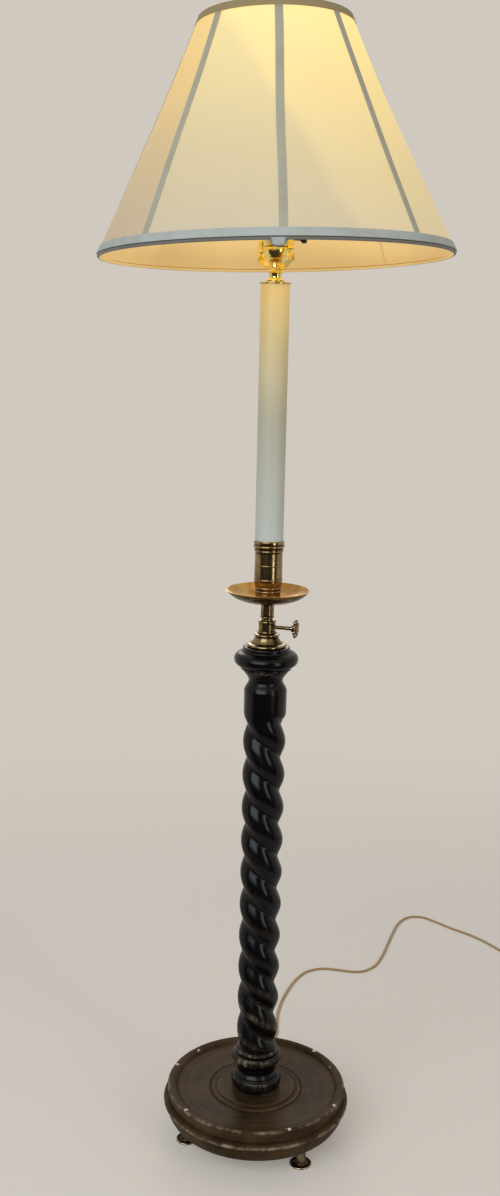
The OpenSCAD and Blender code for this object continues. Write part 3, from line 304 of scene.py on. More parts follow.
@dataclass(frozen=True)
class Brass:
    """Brass or another metal, with cloudy tarnish, dark recesses and bright edges."""

    name: str
    slot: Slot
    bright: Colour
    dull: Colour
    dark: Colour
    smooth: float = 0.22
    rough: float = 0.42
    cloud: float = 60.0
    spots: float = 0.3
    metal: float = 1.0
    tarnish: float = 0.0

    def make(self) -> bpy.types.Material:
        """Clouds of tarnish over the metal, with spots where a cell's chance is high, and fine scratches."""
        g = Graph(self.name)
        cloud = g.noise(g.place(), self.cloud, 5, 0.6).step(0.36, 0.68)
        far, chance = g.cells(g.place(), self.cloud * 9)
        spot = far.step(0.4, 0.15) * chance.step(1 - self.spots, 1.0)
        grime, wear = g.mark("grime"), g.mark("wear")
        dull = (cloud * 0.75 + spot * 0.6 + grime * 0.8 - wear * 0.9 + self.tarnish).clamped()
        colour = g.mix(dull, self.bright, self.dull)
        colour = g.mix((grime * 0.9 + spot * 0.35).clamped(), colour, self.dark)
        fine = g.noise(g.place((1, 1, 14)), 420, 2, 0.5)
        rough = (self.smooth + (self.rough - self.smooth) * dull + fine * 0.06).clamped()
        height = fine * 0.35 + g.noise(g.place(), self.cloud * 4, 3, 0.5) * 0.8
        return g.finish(Base_Color=colour, Metallic=self.metal, Roughness=rough, Normal=g.bump(height, 0.05))


@dataclass(frozen=True)
class Ebonised:
    """Near-black polished wood, rubbed brown along its crests, with fine grain in the gloss."""

    name: str = "ebonised_wood"
    slot: Slot = Slot.EBONISED
    black: Colour = srgb(7, 7, 8)
    deep: Colour = srgb(2, 2, 2)
    brown: Colour = srgb(50, 38, 27)
    pale: Colour = srgb(118, 104, 86)
    rub_low: float = 0.12
    rub_top: float = 0.3

    def make(self) -> bpy.types.Material:
        """Brown shows where stored wear and noise agree; pale rubbed lines follow the sharpest wear. Both
        grow towards the column's foot."""
        g = Graph(self.name)
        wear, grime = g.mark("wear"), g.mark("grime")
        patch = g.noise(g.place((1, 1, 0.45)), 34, 5, 0.62)
        fleck = g.noise(g.place((1, 1, 0.3)), 210, 3, 0.6)
        low = g.axis(2).step(self.rub_top, self.rub_low)
        rubbed = (wear * 0.6 + patch * 0.9 + low * 0.34 - 0.64).step(0.1, 0.6)
        rubbed = (rubbed * fleck.step(0.25, 0.6)).clamped()
        bare = (wear + low * 0.45 - 0.72).step(0.0, 0.25) * patch.step(0.46, 0.62)
        bare = (bare * fleck.step(0.44, 0.6)).clamped()
        colour = g.mix(grime, self.black, self.deep)
        colour = g.mix(rubbed * 0.75, colour, self.brown)
        colour = g.mix(bare * 0.8, colour, self.pale)
        grain = g.noise(g.place((1, 1, 0.05)), 900, 2, 0.55)
        rough = (0.17 + rubbed * 0.2 + grain * 0.1 + grime * 0.15).clamped()
        height = grain * 0.25 + patch * 0.6 + fleck * 0.15
        return g.finish(Base_Color=colour, Roughness=rough, Specular_IOR_Level=0.24,
                        Normal=g.bump(height, 0.12))


@dataclass(frozen=True)
class WornWood:
    """The base's rubbed wood: olive brown with turning marks, light edges that are worn and carry painted
    highlights, dark grooves and chips.
    """

    name: str = "worn_wood"
    slot: Slot = Slot.WORN
    olive: Colour = srgb(82, 65, 43)
    umber: Colour = srgb(31, 23, 15)
    edge: Colour = srgb(158, 141, 120)
    groove: Colour = srgb(20, 14, 9)
    chip: Colour = srgb(226, 219, 205)
    lip_low: float = 0.0735
    lip_in: float = 0.119

    def make(self) -> bpy.types.Material:
        """Turning marks are noise read on (radius, height); chips are scattered cells on the lip alone."""
        g = Graph(self.name)
        x, y, z = g.axis(0), g.axis(1), g.axis(2)
        radius = (x * x + y * y) ** 0.5
        ring_at = g.node("ShaderNodeCombineXYZ", {}, {0: radius, 1: z * 0.7, 2: x * 0.02}).outputs[0]
        marks = g.noise(ring_at, 330, 4, 0.62)
        broad = g.noise(g.place(), 16, 4, 0.6)
        smudge = g.noise(g.place(), 75, 5, 0.65)
        wear, grime = g.mark("wear"), g.mark("grime")
        tone = (marks * 0.55 + broad * 0.75 + smudge * 0.25 - 0.3).step(0.2, 0.75)
        colour = g.mix(tone, self.umber, self.olive)
        # light edges: wear and painted highlights together, on the convex corners
        rubbed = (wear * 1.1 + smudge * 1.5 + marks * 0.3 - 1.35).step(0.05, 0.7)
        colour = g.mix(rubbed * 0.8, colour, self.edge)
        colour = g.mix((grime * 0.75).clamped(), colour, self.groove)
        far, chance = g.cells(g.place(), 62)
        ragged = g.noise(g.place(), 420, 2, 0.5)
        on_lip = z.step(self.lip_low, self.lip_low + 0.001) * radius.step(self.lip_in, self.lip_in + 0.001)
        chips = (far + ragged * 0.5).step(0.46, 0.39) * chance.step(0.42, 0.425) * on_lip
        colour = g.mix(chips, colour, self.chip)
        rough = (0.26 + marks * 0.12 + broad * 0.14 + grime * 0.2 + chips * 0.2 - rubbed * 0.04).clamped()
        height = marks * 0.5 + smudge * 0.25 - chips * 1.6
        return g.finish(Base_Color=colour, Roughness=rough, Specular_IOR_Level=0.08,
                        Specular_Tint=srgb(255, 208, 158), Normal=g.bump(height, 0.16))


@dataclass(frozen=True)
class Ivory:
    """The candle's painted sleeve, cool at its foot and warm at its top with painted light from the bulb,
    with faint drips and scuffs.
    """

    name: str = "ivory_sleeve"
    slot: Slot = Slot.IVORY
    cool: Colour = srgb(183, 191, 187)
    mid: Colour = srgb(170, 169, 150)
    # painted light: the bulb's warm light on the sleeve's upper part
    near_top: Colour = srgb(206, 192, 144)
    bulb_lit: Colour = srgb(240, 216, 148)
    scuffed: Colour = srgb(150, 140, 112)
    low: float = 0.876
    high: float = 1.222

    def make(self) -> bpy.types.Material:
        """The colour climbs with height to painted bulb light at the top; scuffs are noise stretched along
        the sleeve.
        """
        g = Graph(self.name)
        height = ((g.axis(2) - self.low) / (self.high - self.low)).clamped()
        stops = [(0.0, self.cool), (0.5, self.mid), (0.8, self.near_top), (1.0, self.bulb_lit)]
        colour = g.ramp(height, stops)
        scuff = g.noise(g.place((1, 1, 0.18)), 120, 4, 0.6)
        stain = g.noise(g.place(), 26, 4, 0.6)
        colour = g.mix(scuff.step(0.56, 0.8) * 0.22 + stain.step(0.5, 0.8) * 0.12, colour, self.scuffed)
        ripple = g.noise(g.place((1, 1, 0.35)), 60, 2, 0.5)
        return g.finish(Base_Color=colour, Roughness=(0.36 + scuff * 0.14).clamped(),
                        Subsurface_Weight=0.06, Subsurface_Radius=(0.004, 0.003, 0.002),
                        Normal=g.bump(ripple + scuff * 0.2, 0.25))


@dataclass(frozen=True)
class Silk:
    """Lit shade cloth: slubby silk outside, or the lining within, whose glow fades towards the hem."""

    name: str
    slot: Slot
    cloth: Colour
    glow: tuple[tuple[float, Colour], ...]
    strength: float
    # lean: painted light, the glow grows towards +x
    lean: float = 0.0
    patch: float = 0.0
    slubs: Colour = srgb(255, 250, 236)
    # the glow's scale outside and inside the painted pool of light
    calm: Colour = (0.82, 0.82, 0.82, 1.0)
    pool_of_light: Colour = (1.0, 0.965, 0.87, 1.0)
    # painted shade on the left-hand panels, low down and higher up
    left_shade_low: Colour = (0.7, 0.6, 0.52, 1.0)
    left_shade_high: Colour = (0.84, 0.68, 0.38, 1.0)
    low: float = 1.2575
    high: float = 1.5395
    hem_r: float = 0.2285
    top_r: float = 0.0958

    def make(self) -> bpy.types.Material:
        """Slubs are noise stretched down the cloth's UV; the glow's colour follows height, side and slubs,
        and lean paints more glow on the +x side. With patch, a painted pool of light brightens the cloth
        right of a slanting line, and painted shade makes the left-hand panels dimmer and warmer."""
        g = Graph(self.name)
        level = ((g.axis(2) - self.low) / (self.high - self.low)).clamped()
        slub = g.noise(g.cloth((1, 0.035, 1)), 620, 4, 0.62)
        weft = g.noise(g.cloth((0.05, 1, 1)), 900, 3, 0.6)
        drift = g.noise(g.place((1, 1, 0.6)), 9, 3, 0.5)
        colour = g.mix((slub.step(0.38, 0.72) * 0.3).clamped(), self.cloth, self.slubs, "MULTIPLY")
        # painted pool of light: the cloth right of this slanting line glows more
        slant = g.axis(0) + (level - 0.5) * 0.18 + (drift - 0.5) * 0.03
        # painted light: more glow towards +x
        side = g.axis(0) * self.lean
        # painted shade: the left-hand panels, past this share of the radius, are dimmer and warmer
        across = g.axis(0) / (level * (self.top_r - self.hem_r) + self.hem_r)
        tone = g.mix(slant.step(0.0, 0.03) * self.patch, self.calm, self.pool_of_light)
        left = g.mix(level.step(0.05, 0.7), self.left_shade_low, self.left_shade_high)
        tone = g.mix(across.step(-0.69, -0.73) * self.patch, tone, left)
        lit = g.ramp((level + (drift - 0.5) * 0.16 + side).clamped(), self.glow)
        shade = (0.8 + slub * 0.2 + weft * 0.12 + side * 0.5).clamped()
        dim = g.node("ShaderNodeCombineColor", {}, {0: shade, 1: shade, 2: shade}).outputs[0]
        lit = g.mix(1.0, g.mix(1.0, lit, dim, "MULTIPLY"), tone, "MULTIPLY")
        return g.finish(Base_Color=colour, Roughness=(0.62 + slub * 0.16).clamped(), Sheen_Weight=0.12,
                        Specular_IOR_Level=0.25, Emission_Color=lit, Emission_Strength=self.strength,
                        Normal=g.bump(slub + weft * 0.6, 0.09))


@dataclass(frozen=True)
class Tape:
    """The pale grey-green tape on the ribs and edges: a fine rib weave, a little lit from behind."""

    name: str
    slot: Slot
    cloth: Colour
    glow: Colour
    strength: float
    stained: Colour = srgb(143, 138, 116)
    shaded: Colour = srgb(44, 40, 33)
    unlit: Colour = srgb(60, 52, 34)

    def make(self) -> bpy.types.Material:
        """The weave is a fine wave along the tape's UV, broken by noise."""
        g = Graph(self.name)
        rib = g.field("ShaderNodeTexWave", {"bands_direction": "Y", "wave_profile": "SIN"},
                      {"Vector": g.cloth(), "Scale": 190.0, "Distortion": 0.6, "Detail": 1.0}, "Fac")
        fuzz = g.noise(g.cloth(), 900, 3, 0.6)
        stain = g.noise(g.place(), 30, 4, 0.6)
        wear, grime = g.mark("wear"), g.mark("grime")
        colour = g.mix(stain.step(0.4, 0.75) * 0.4, self.cloth, self.stained)
        # painted shade: where the darkening mark is high the tape takes this dark colour and its glow fades
        colour = g.mix((grime * 0.95).clamped(), colour, self.shaded)
        lit = g.mix((rib * 0.3 + fuzz * 0.35 + grime * 0.6).clamped(), self.glow, self.unlit)
        return g.finish(Base_Color=colour, Roughness=(0.72 + fuzz * 0.15 - wear * 0.05).clamped(),
                        Sheen_Weight=0.15, Emission_Color=lit, Emission_Strength=self.strength,
                        Normal=g.bump(rib * 0.8 + fuzz * 0.7, 0.14))


@dataclass(frozen=True)
class Jacket:
    """The cord's golden rayon jacket, a fine slanted weave with a silky shine."""

    name: str = "cord_jacket"
    slot: Slot = Slot.CORD
    gold: Colour = srgb(196, 160, 92)
    brown: Colour = srgb(140, 103, 52)

    def make(self) -> bpy.types.Material:
        """Two crossing waves on the cord's UV make the braid."""
        g = Graph(self.name)
        strands = [g.field("ShaderNodeTexWave", {"bands_direction": "DIAGONAL"},
                           {"Vector": g.cloth((way, 1, 1)), "Scale": 240.0, "Distortion": 0.4}, "Fac")
                   for way in (1, -1)]
        soil_and_shade = g.noise(g.place(), 22, 4, 0.6)
        weave = strands[0] * strands[1]
        colour = g.mix((weave * -0.8 + 0.75 + (soil_and_shade - 0.5) * 0.6).clamped(), self.gold, self.brown)
        return g.finish(Base_Color=colour, Roughness=(0.34 + weave * 0.1).clamped(), Sheen_Weight=0.25,
                        Specular_IOR_Level=0.6, Normal=g.bump(weave, 0.1))


@dataclass(frozen=True)
class Moulded:
    """A moulded, painted or pressed finish with faint mottling and a fine skin."""

    name: str
    slot: Slot
    colour: Colour
    second: Colour
    rough: float
    scale: float = 60.0
    depth: float = 0.05
    glow: Colour = (0.0, 0.0, 0.0, 1.0)
    strength: float = 0.0

    def make(self) -> bpy.types.Material:
        """Noise drifts between two near colours and sets the skin's bump."""
        g = Graph(self.name)
        drift = g.noise(g.place(), self.scale, 4, 0.6)
        skin = g.noise(g.place(), self.scale * 14, 2, 0.5)
        grime = g.mark("grime")
        colour = g.mix(drift.step(0.35, 0.7) + grime * 0.3, self.colour, self.second)
        return g.finish(Base_Color=colour, Roughness=(self.rough + drift * 0.14).clamped(),
                        Emission_Color=self.glow, Emission_Strength=self.strength,
                        Normal=g.bump(skin * 0.5 + drift * 0.6, self.depth))


AGED = Brass("aged_brass", Slot.AGED, srgb(156, 136, 98), srgb(84, 69, 45), srgb(22, 16, 9),
             smooth=0.14, rough=0.3)
# the feet's bright worn rims also carry painted highlights
FOOT = Brass("foot_brass", Slot.AGED, srgb(196, 180, 148), srgb(84, 68, 48), srgb(20, 15, 10),
             smooth=0.2, rough=0.4, tarnish=0.3)
PAN_BRASS = Brass("pan_brass", Slot.BRIGHT, srgb(224, 180, 108), srgb(160, 122, 72), srgb(66, 50, 28),
                  smooth=0.22, rough=0.42, cloud=38.0)
# painted shade: a darker copy of the pan's brass for its underside
SHADED_UNDER = Brass("pan_shaded_under", Slot.AGED, srgb(132, 106, 70), srgb(62, 46, 27), srgb(18, 13, 8),
              smooth=0.16, rough=0.32)
BRIGHT = Brass("bright_brass", Slot.BRIGHT, srgb(255, 238, 150), srgb(242, 208, 104), srgb(104, 78, 30),
               smooth=0.1, rough=0.24)
STEEL = Brass("steel", Slot.STEEL, srgb(190, 190, 188), srgb(120, 117, 112), srgb(60, 56, 50),
              smooth=0.25, rough=0.45)
IRON = Brass("iron", Slot.IRON, srgb(62, 60, 60), srgb(40, 36, 34), srgb(20, 18, 17), smooth=0.5, rough=0.75,
             metal=0.6)
EBONISED = Ebonised()
WORN_WOOD = WornWood()
IVORY = Ivory()
# the cover's glow carries painted light towards +x, a painted pool of light and painted shade on its
# left-hand panels
SILK = Silk("silk_cover", Slot.SILK, srgb(142, 138, 124),
            ((0.0, srgb(166, 151, 124)), (0.35, srgb(184, 164, 116)), (0.68, srgb(208, 184, 116)),
             (1.0, srgb(228, 204, 124))), 1.22, lean=0.3, patch=1.0)
LINING = Silk("silk_lining", Slot.SILK, srgb(190, 165, 112),
              ((0.0, srgb(150, 130, 88)), (0.1, srgb(184, 160, 110)), (0.4, srgb(222, 193, 130)),
               (1.0, srgb(250, 220, 150))), 1.22)
# painted light: the frame's wires glow as the lit lining does
LINED_WIRE = Moulded("lined_wire", Slot.SILK, srgb(190, 165, 112), srgb(176, 150, 98), 0.6,
                     glow=srgb(170, 144, 98), strength=0.8)
TAPE = Tape("rib_tape", Slot.BRAID, srgb(162, 161, 145), srgb(96, 86, 56), 0.35)
TRIM = Tape("edge_trim", Slot.BRAID, srgb(170, 178, 174), srgb(52, 52, 46), 0.2)
# painted shade: a darker, warmer copy of the trim's braid for the top band
SHADED_TOP_TRIM = Tape("top_trim", Slot.BRAID, srgb(146, 126, 86), srgb(70, 54, 26), 0.25)
JACKET = Jacket()
# painted shadow: the dark line round the lower edge of the candle's cap
SHADOW_GAP = Moulded("shadow_seam", Slot.BRIGHT, srgb(46, 32, 18), srgb(32, 22, 13), 0.6)
BLACK = Moulded("black_plastic", Slot.BLACK, srgb(22, 20, 20), srgb(34, 31, 29), 0.32)
PLUG = Moulded("plug_moulding", Slot.CORD, srgb(178, 143, 82), srgb(150, 116, 60), 0.4)
CARD = Moulded("liner_card", Slot.CARD, srgb(150, 120, 82), srgb(120, 92, 60), 0.8)
OPAL = Moulded("bulb_glass", Slot.BULB, srgb(250, 240, 220), srgb(255, 248, 230), 0.12, depth=0.0,
               glow=srgb(255, 232, 188), strength=1.6)


class Paints:
    """Makes each finish once and hands it out."""

    def __init__(self) -> None:
        """Starts with none made."""
        self.made: dict[str, bpy.types.Material] = {}

    def get(self, finish: object) -> bpy.types.Material:
        """The finish's material, made at its first use.

        Args:
            finish: one of the finishes above.
        Returns:
            Its material.
        """
        if finish.name not in self.made:
            self.made[finish.name] = finish.make()
        return self.made[finish.name]


PAINTS = Paints()


# ---- surfaces ----


def arc(x: float, y: float, r: float, start: float, end: float, n: int = 10) -> Points:
    """n + 1 points on a circle about (x, y): (x + r cos a, y + r sin a), a from start to end in degrees."""
    a = np.radians(np.linspace(start, end, n + 1))
    return np.stack([x + r * np.cos(a), y + r * np.sin(a)], -1)


def outline(*runs: object) -> Points:
    """Runs of (x, y) points joined into one outline."""
    return np.vstack([np.reshape(np.array(run, float), (-1, 2)) for run in runs])


def rounded(line: Points, reach: float, closed: bool = False, steps: int = 4) -> Points:
    """An outline with each corner P rounded by (1-t)^2 A + 2t(1-t) P + t^2 B, where A and B lie reach
    along its two sides, and at most 0.42 of a side.

    Args:
        line: the outline's corners.
        reach: how far from the corner the rounding starts.
        closed: whether the outline returns to its start.
        steps: points in each rounding.
    Returns:
        The rounded outline.
    """
    before, after = np.roll(line, 1, 0) - line, np.roll(line, -1, 0) - line
    t = np.linspace(0, 1, steps + 1)[None, :, None]

    def toward(side: Points) -> Points:
        """Points along each side, no further than reach."""
        long = np.linalg.norm(side, axis=1, keepdims=True)
        return side * np.minimum(reach / np.maximum(long, 1e-9), 0.42)

    a, b = (line + toward(before))[:, None], (line + toward(after))[:, None]
    curve = (1 - t) ** 2 * a + 2 * t * (1 - t) * line[:, None] + t**2 * b
    if closed:
        return curve.reshape(-1, 2)
    return np.vstack([line[:1], curve[1:-1].reshape(-1, 2), line[-1:]])


def dense(line: Points, gap: float, closed: bool = False) -> Points:
    """The same outline with points added at even steps of about gap along it.

    Args:
        line: outline points.
        gap: the step.
        closed: whether the outline returns to its start.
    Returns:
        The outline's own points and the added ones, in order.
    """
    line = np.vstack([line, line[:1]]) if closed else line
    steps = np.linalg.norm(np.diff(line, axis=0), axis=1)
    keep = np.r_[True, steps > 1e-7]
    line = line[keep]
    run = np.r_[0, np.cumsum(np.linalg.norm(np.diff(line, axis=0), axis=1))]
    extra = np.linspace(0, run[-1], max(int(run[-1] / gap), 2))
    extra = extra[np.abs(extra[:, None] - run[None]).min(1) > gap * 0.3]
    at = np.sort(np.r_[run, extra])
    out = np.stack([np.interp(at, run, line[:, k]) for k in (0, 1)], -1)
    return out[:-1] if closed else out


def edge_marks(line: Points, width: float, closed: bool = False) -> tuple[Points, Points]:
    """Wear and darkening of an outline: the turn at each corner, spread with a bell curve of that width along
    the outline, is wear where the corner stands out and darkening where it goes in; on the shade's bands that
    darkening is painted shade.

    Args:
        line: outline points, with the solid on the left of their direction.
        width: how far a corner's mark spreads.
        closed: whether the outline returns to its start.
    Returns:
        Wear and darkening from 0 to 1, one for each point.
    """
    ahead, behind = np.roll(line, -1, 0) - line, line - np.roll(line, 1, 0)
    turn = np.arctan2(behind[:, 0] * ahead[:, 1] - behind[:, 1] * ahead[:, 0], (behind * ahead).sum(1))
    if not closed:
        turn[[0, -1]] = 0
    run = np.r_[0, np.cumsum(np.linalg.norm(np.diff(line, axis=0), axis=1))]
    apart = np.abs(run[:, None] - run[None])
    if closed:
        apart = np.minimum(apart, run[-1] + np.linalg.norm(line[0] - line[-1]) - apart)
    near = np.exp(-0.5 * (apart / width) ** 2) @ turn
    return np.clip(near / FULL_MARK, 0, 1), np.clip(-near / FULL_MARK, 0, 1)


def spun(line: Points, around: int) -> Points:
    """A turned surface: each outline point (r, z) goes round as (r cos a, r sin a, z).

    Args:
        line: the outline.
        around: points round the axis.
    Returns:
        A row of points for each outline point.
    """
    a = np.linspace(0, 2 * np.pi, around, endpoint=False)
    r, z = line[:, :1], line[:, 1:]
    return np.stack([r * np.cos(a), r * np.sin(a), z + 0 * a], -1)


def smooth_path(points: Points, steps: int) -> Points:
    """A Catmull-Rom curve through points: 0.5 (2b + (c-a)t + (2a-5b+4c-d)t^2 + (3b-a-3c+d)t^3).

    Args:
        points: the points, of any number of coordinates.
        steps: how many parts each gap between two points is cut into.
    Returns:
        The curve's points.
    """
    p = np.vstack([points[:1], points, points[-1:]])
    a, b, c, d = (q[:, None] for q in (p[:-3], p[1:-2], p[2:-1], p[3:]))
    t = (np.arange(steps) / steps)[None, :, None]
    q = 0.5 * (2 * b + (c - a) * t + (2 * a - 5 * b + 4 * c - d) * t**2 + (3 * b - a - 3 * c + d) * t**3)
    return np.vstack([q.reshape(-1, points.shape[1]), points[-1:]])


def swept(path: Points, section: Points, side: Sequence[float] | None = None) -> Points:
    """A section carried along a path: path + x side + y (side x heading), with side level and square to
    the path unless it is given.

    Args:
        path: the points of the path.
        section: (x, y) points of the closed section.
        side: the fixed direction of the section's x, if any.
    Returns:
        Rows of ring points, with a closing point at both ends.
    """
    heading = np.gradient(path, axis=0)
    heading /= np.linalg.norm(heading, axis=1, keepdims=True)
    fixed = None if side is None else np.tile(np.array(side, float), (len(path), 1))
    across = np.cross(heading, [0, 0, 1.0]) if fixed is None else fixed
    across /= np.linalg.norm(across, axis=1, keepdims=True)
    up = np.cross(across, heading)
    rings = path[:, None] + section[None, :, :1] * across[:, None] + section[None, :, 1:] * up[:, None]
    caps = np.repeat(path[[0, -1], None], len(section), 1)
    return np.concatenate([caps[:1], rings, caps[1:]])


def circle(r: float, n: int) -> Points:
    """A circle's points: (r cos a, r sin a)."""
    a = np.linspace(0, 2 * np.pi, n, endpoint=False)
    return np.stack([r * np.cos(a), r * np.sin(a)], -1)


def ease(t: Points) -> Points:
    """A smooth step from 0 to 1: 3t^2 - 2t^3."""
    t = np.clip(t, 0, 1)
    return t * t * (3 - 2 * t)


class Shape:
    """A mesh gathered from grids of points in millimetres, with wear, darkening and a UV map in metres."""

    def __init__(self, place: Matrix | None = None) -> None:
        """Starts empty.

        Args:
            place: where the next grids go, if not as they are.
        """
        self.place = place
        self.points: list[Points] = []
        self.quads: list[Points] = []
        self.uvs: list[Points] = []
        self.slots: list[Points] = []
        self.marks: list[Points] = []
        self.count = 0

    def at(self, place: Matrix | None) -> "Shape":
        """Sets where the next grids go."""
        self.place = place
        return self

    def grid(self, points: Points, wrap_rows: bool = False, wrap_cols: bool = True, slot: int = 0,
             wear: object = 0.0, grime: object = 0.0) -> "Shape":
        """Adds a grid of quads.

        Args:
            points: rows by columns by (x, y, z).
            wrap_rows, wrap_cols: whether the last row or column joins the first.
            slot: the material slot.
            wear, darkening: numbers for each point, or that can be spread over them.
        Returns:
            The shape, for chaining.
        """
        rows, cols = points.shape[:2]
        index = np.arange(rows * cols).reshape(rows, cols) + self.count
        v = np.r_[0, np.cumsum(np.linalg.norm(np.diff(points, axis=0), axis=2).max(1))]
        u = np.r_[0, np.cumsum(np.linalg.norm(np.diff(points, axis=1), axis=2).max(0))]
        if wrap_rows:
            index = np.vstack([index, index[:1]])
            v = np.r_[v, v[-1] + np.linalg.norm(points[0] - points[-1], axis=1).max()]
        if wrap_cols:
            index = np.hstack([index, index[:, :1]])
            u = np.r_[u, u[-1] + np.linalg.norm(points[:, 0] - points[:, -1], axis=1).max()]
        uv = np.stack(np.meshgrid(u, v), -1) * MM
        corners = [(slice(None, -1), slice(None, -1)), (slice(None, -1), slice(1, None)),
                   (slice(1, None), slice(1, None)), (slice(1, None), slice(None, -1))]
        self.quads.append(np.stack([index[c] for c in corners], -1).reshape(-1, 4))
        self.uvs.append(np.stack([uv[c] for c in corners], 2).reshape(-1, 2))
        self.slots.append(np.full(len(self.quads[-1]), slot))
        flat = points.reshape(-1, 3)
        if self.place is not None:
            m = np.array(self.place)
            flat = flat @ m[:3, :3].T + m[:3, 3]
        self.points.append(flat)
        spread = [np.broadcast_to(np.array(w, float), (rows, cols)).ravel() for w in (wear, grime)]
        self.marks.append(np.stack(spread, -1))
        self.count += rows * cols
        return self

    def turned(self, line: Points, reach: float, gap: float, around: int, closed: bool = True,
               width: float = 1.2, finish_line: bool = True,
               marked: tuple[float, float] = (-1e6, 1e6)) -> "Shape":
        """Adds a turned solid.

        Args:
            line: its half outline as (r, z), anticlockwise, so the solid is on the left.
            reach: how far each corner is rounded.
            gap: the largest gap between outline points.
            around: points round the axis.
            closed: whether the outline returns to its start.
            width: how far a corner's wear spreads.
            finish_line: whether wear and darkening follow the corners.
            marked: the heights between which they do.
        Returns:
            The shape, for chaining.
        """
        line = dense(rounded(line, reach, closed), gap, closed)
        wear, grime = edge_marks(line, width, closed) if finish_line else (np.zeros(len(line)),) * 2
        kept = (line[:, 1] > marked[0]) & (line[:, 1] < marked[1])
        wear, grime = wear * kept, grime * kept
        return self.grid(spun(line, around), wrap_rows=closed, wear=wear[:, None], grime=grime[:, None])

    def mesh(self, name: str, sharp: float = SHARP) -> bpy.types.Mesh:
        """The gathered grids as one tidy mesh in metres.

        Args:
            name: the mesh's name.
            sharp: the angle, in degrees, past which an edge stays sharp.
        Returns:
            The mesh.
        """
        mesh = bpy.data.meshes.new(name)
        points = np.concatenate(self.points) * MM
        mesh.from_pydata(points.tolist(), [], np.concatenate(self.quads).tolist())
        uvs = np.concatenate(self.uvs).astype(np.float32)
        mesh.uv_layers.new(name="UV").data.foreach_set("uv", uvs.ravel())
        marks = np.concatenate(self.marks).astype(np.float32)
        for k, mark in enumerate(("wear", "grime")):
            mesh.attributes.new(mark, "FLOAT", "POINT").data.foreach_set("value", marks[:, k].copy())
        mesh.polygons.foreach_set("material_index", np.concatenate(self.slots).astype(np.int32))
        tidy_mesh(mesh, sharp)
        return mesh

    def build(self, name: str, finishes: Sequence[object], stands_for: Sequence[str],
              sharp: float = SHARP, body: str | None = None) -> bpy.types.Object:
        """The gathered grids as a piece that rides on its body.

        Args:
            name: the piece's name.
            finishes: one for each material slot.
            stands_for: the CAD nodes that it replaces.
            sharp: the angle, in degrees, past which an edge stays sharp.
            body: the body that it rides on, if it replaces no node.
        Returns:
            The object.
        """
        return stand_in(name, self.mesh(name, sharp), finishes, stands_for, body)


def lathe(name: str, node: str, finish: object, line: Points, place: Matrix | None, *cut: float,
          **marks: object) -> bpy.types.Object:
    """A turned piece in place of one CAD node.

    Args:
        name: the piece's name.
        node: the CAD node that it replaces.
        finish: its finish.
        line: its half outline as (r, z), anticlockwise.
        place: where it goes, if not as it is.
        cut: reach, gap and around, as in Shape.turned.
        marks: the other values of Shape.turned.
    Returns:
        The object.
    """
    return Shape(place).turned(line, *cut, **marks).build(name, [finish], [node])


def placed(name: str, data: bpy.types.ID) -> bpy.types.Object:
    """A new object in the scene.

    Args:
        name: its name.
        data: its mesh, lamp or camera.
    Returns:
        The object.
    """
    made = bpy.data.objects.new(name, data)
    bpy.context.scene.collection.objects.link(made)
    return made


def tidy_mesh(mesh: bpy.types.Mesh, sharp: float = SHARP) -> None:
    """Merges doubles, points the faces outwards and shades them smooth up to an angle.

    Args:
        mesh: the mesh to tidy.
        sharp: the angle in degrees.
    """
    bm = bmesh.new()
    bm.from_mesh(mesh)
    bmesh.ops.remove_doubles(bm, verts=bm.verts, dist=DOUBLE)
    bmesh.ops.dissolve_degenerate(bm, edges=bm.edges, dist=SLIVER)
    bmesh.ops.recalc_face_normals(bm, faces=bm.faces)
    bm.to_mesh(mesh)
    bm.free()
    mesh.polygons.foreach_set("use_smooth", np.ones(len(mesh.polygons), bool))
    mesh.set_sharp_from_angle(angle=math.radians(sharp))
    mesh.update()


def stand_in(name: str, mesh: bpy.types.Mesh, finishes: Sequence[object], stands_for: Sequence[str],
             body: str | None = None) -> bpy.types.Object:
    """An object for a mesh, with its finishes, riding on the body of the nodes it replaces.

    Args:
        name: the piece's name.
        mesh: its mesh, in place.
        finishes: one for each material slot.
        stands_for: the CAD nodes that it replaces.
        body: the body, if it replaces no node.
    Returns:
        The object.
    """
    made = placed(name, mesh)
    for finish in finishes:
        mesh.materials.append(PAINTS.get(finish))
    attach(made, body or frame["nodes"][stands_for[0]]["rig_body"])
    if stands_for:
        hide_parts(*stands_for)
    LOG.info("%s: %d faces, for %s", name, len(mesh.polygons), ", ".join(stands_for) or "detail")
    return made


def refine(finish: object, *nodes: str) -> None:
    """Merged, smooth-shaded copies, in a finish, of CAD nodes that have the right shape already.

    Args:
        finish: the finish.
        nodes: their names.
    """
    for node in nodes:
        mesh = frame["nodes"][node].data.copy()
        mesh.name = f"fine_{node}"
        mesh.materials.clear()
        tidy_mesh(mesh)
        stand_in(f"fine_{node}", mesh, [finish], [node])


def dress(finish: object, *nodes: str) -> None:
    """Gives CAD nodes that stay as they are a finish.

    Args:
        finish: the finish.
        nodes: their names.
    """
    for node in nodes:
        mesh = frame["nodes"][node].data
        mesh.materials.clear()
        mesh.materials.append(PAINTS.get(finish))
        LOG.info("%s: CAD node in %s", node, finish.name)


def turn(axis: str, degrees: float) -> Matrix:
    """A turn about an axis of the frame."""
    return Matrix.Rotation(math.radians(degrees), 4, axis)


def shift(x: float, y: float, z: float) -> Matrix:
    """A shift in millimetres."""
    return Matrix.Translation((x, y, z))


def up(z: float) -> Matrix:
    """A lift in millimetres."""
    return shift(0, 0, z)


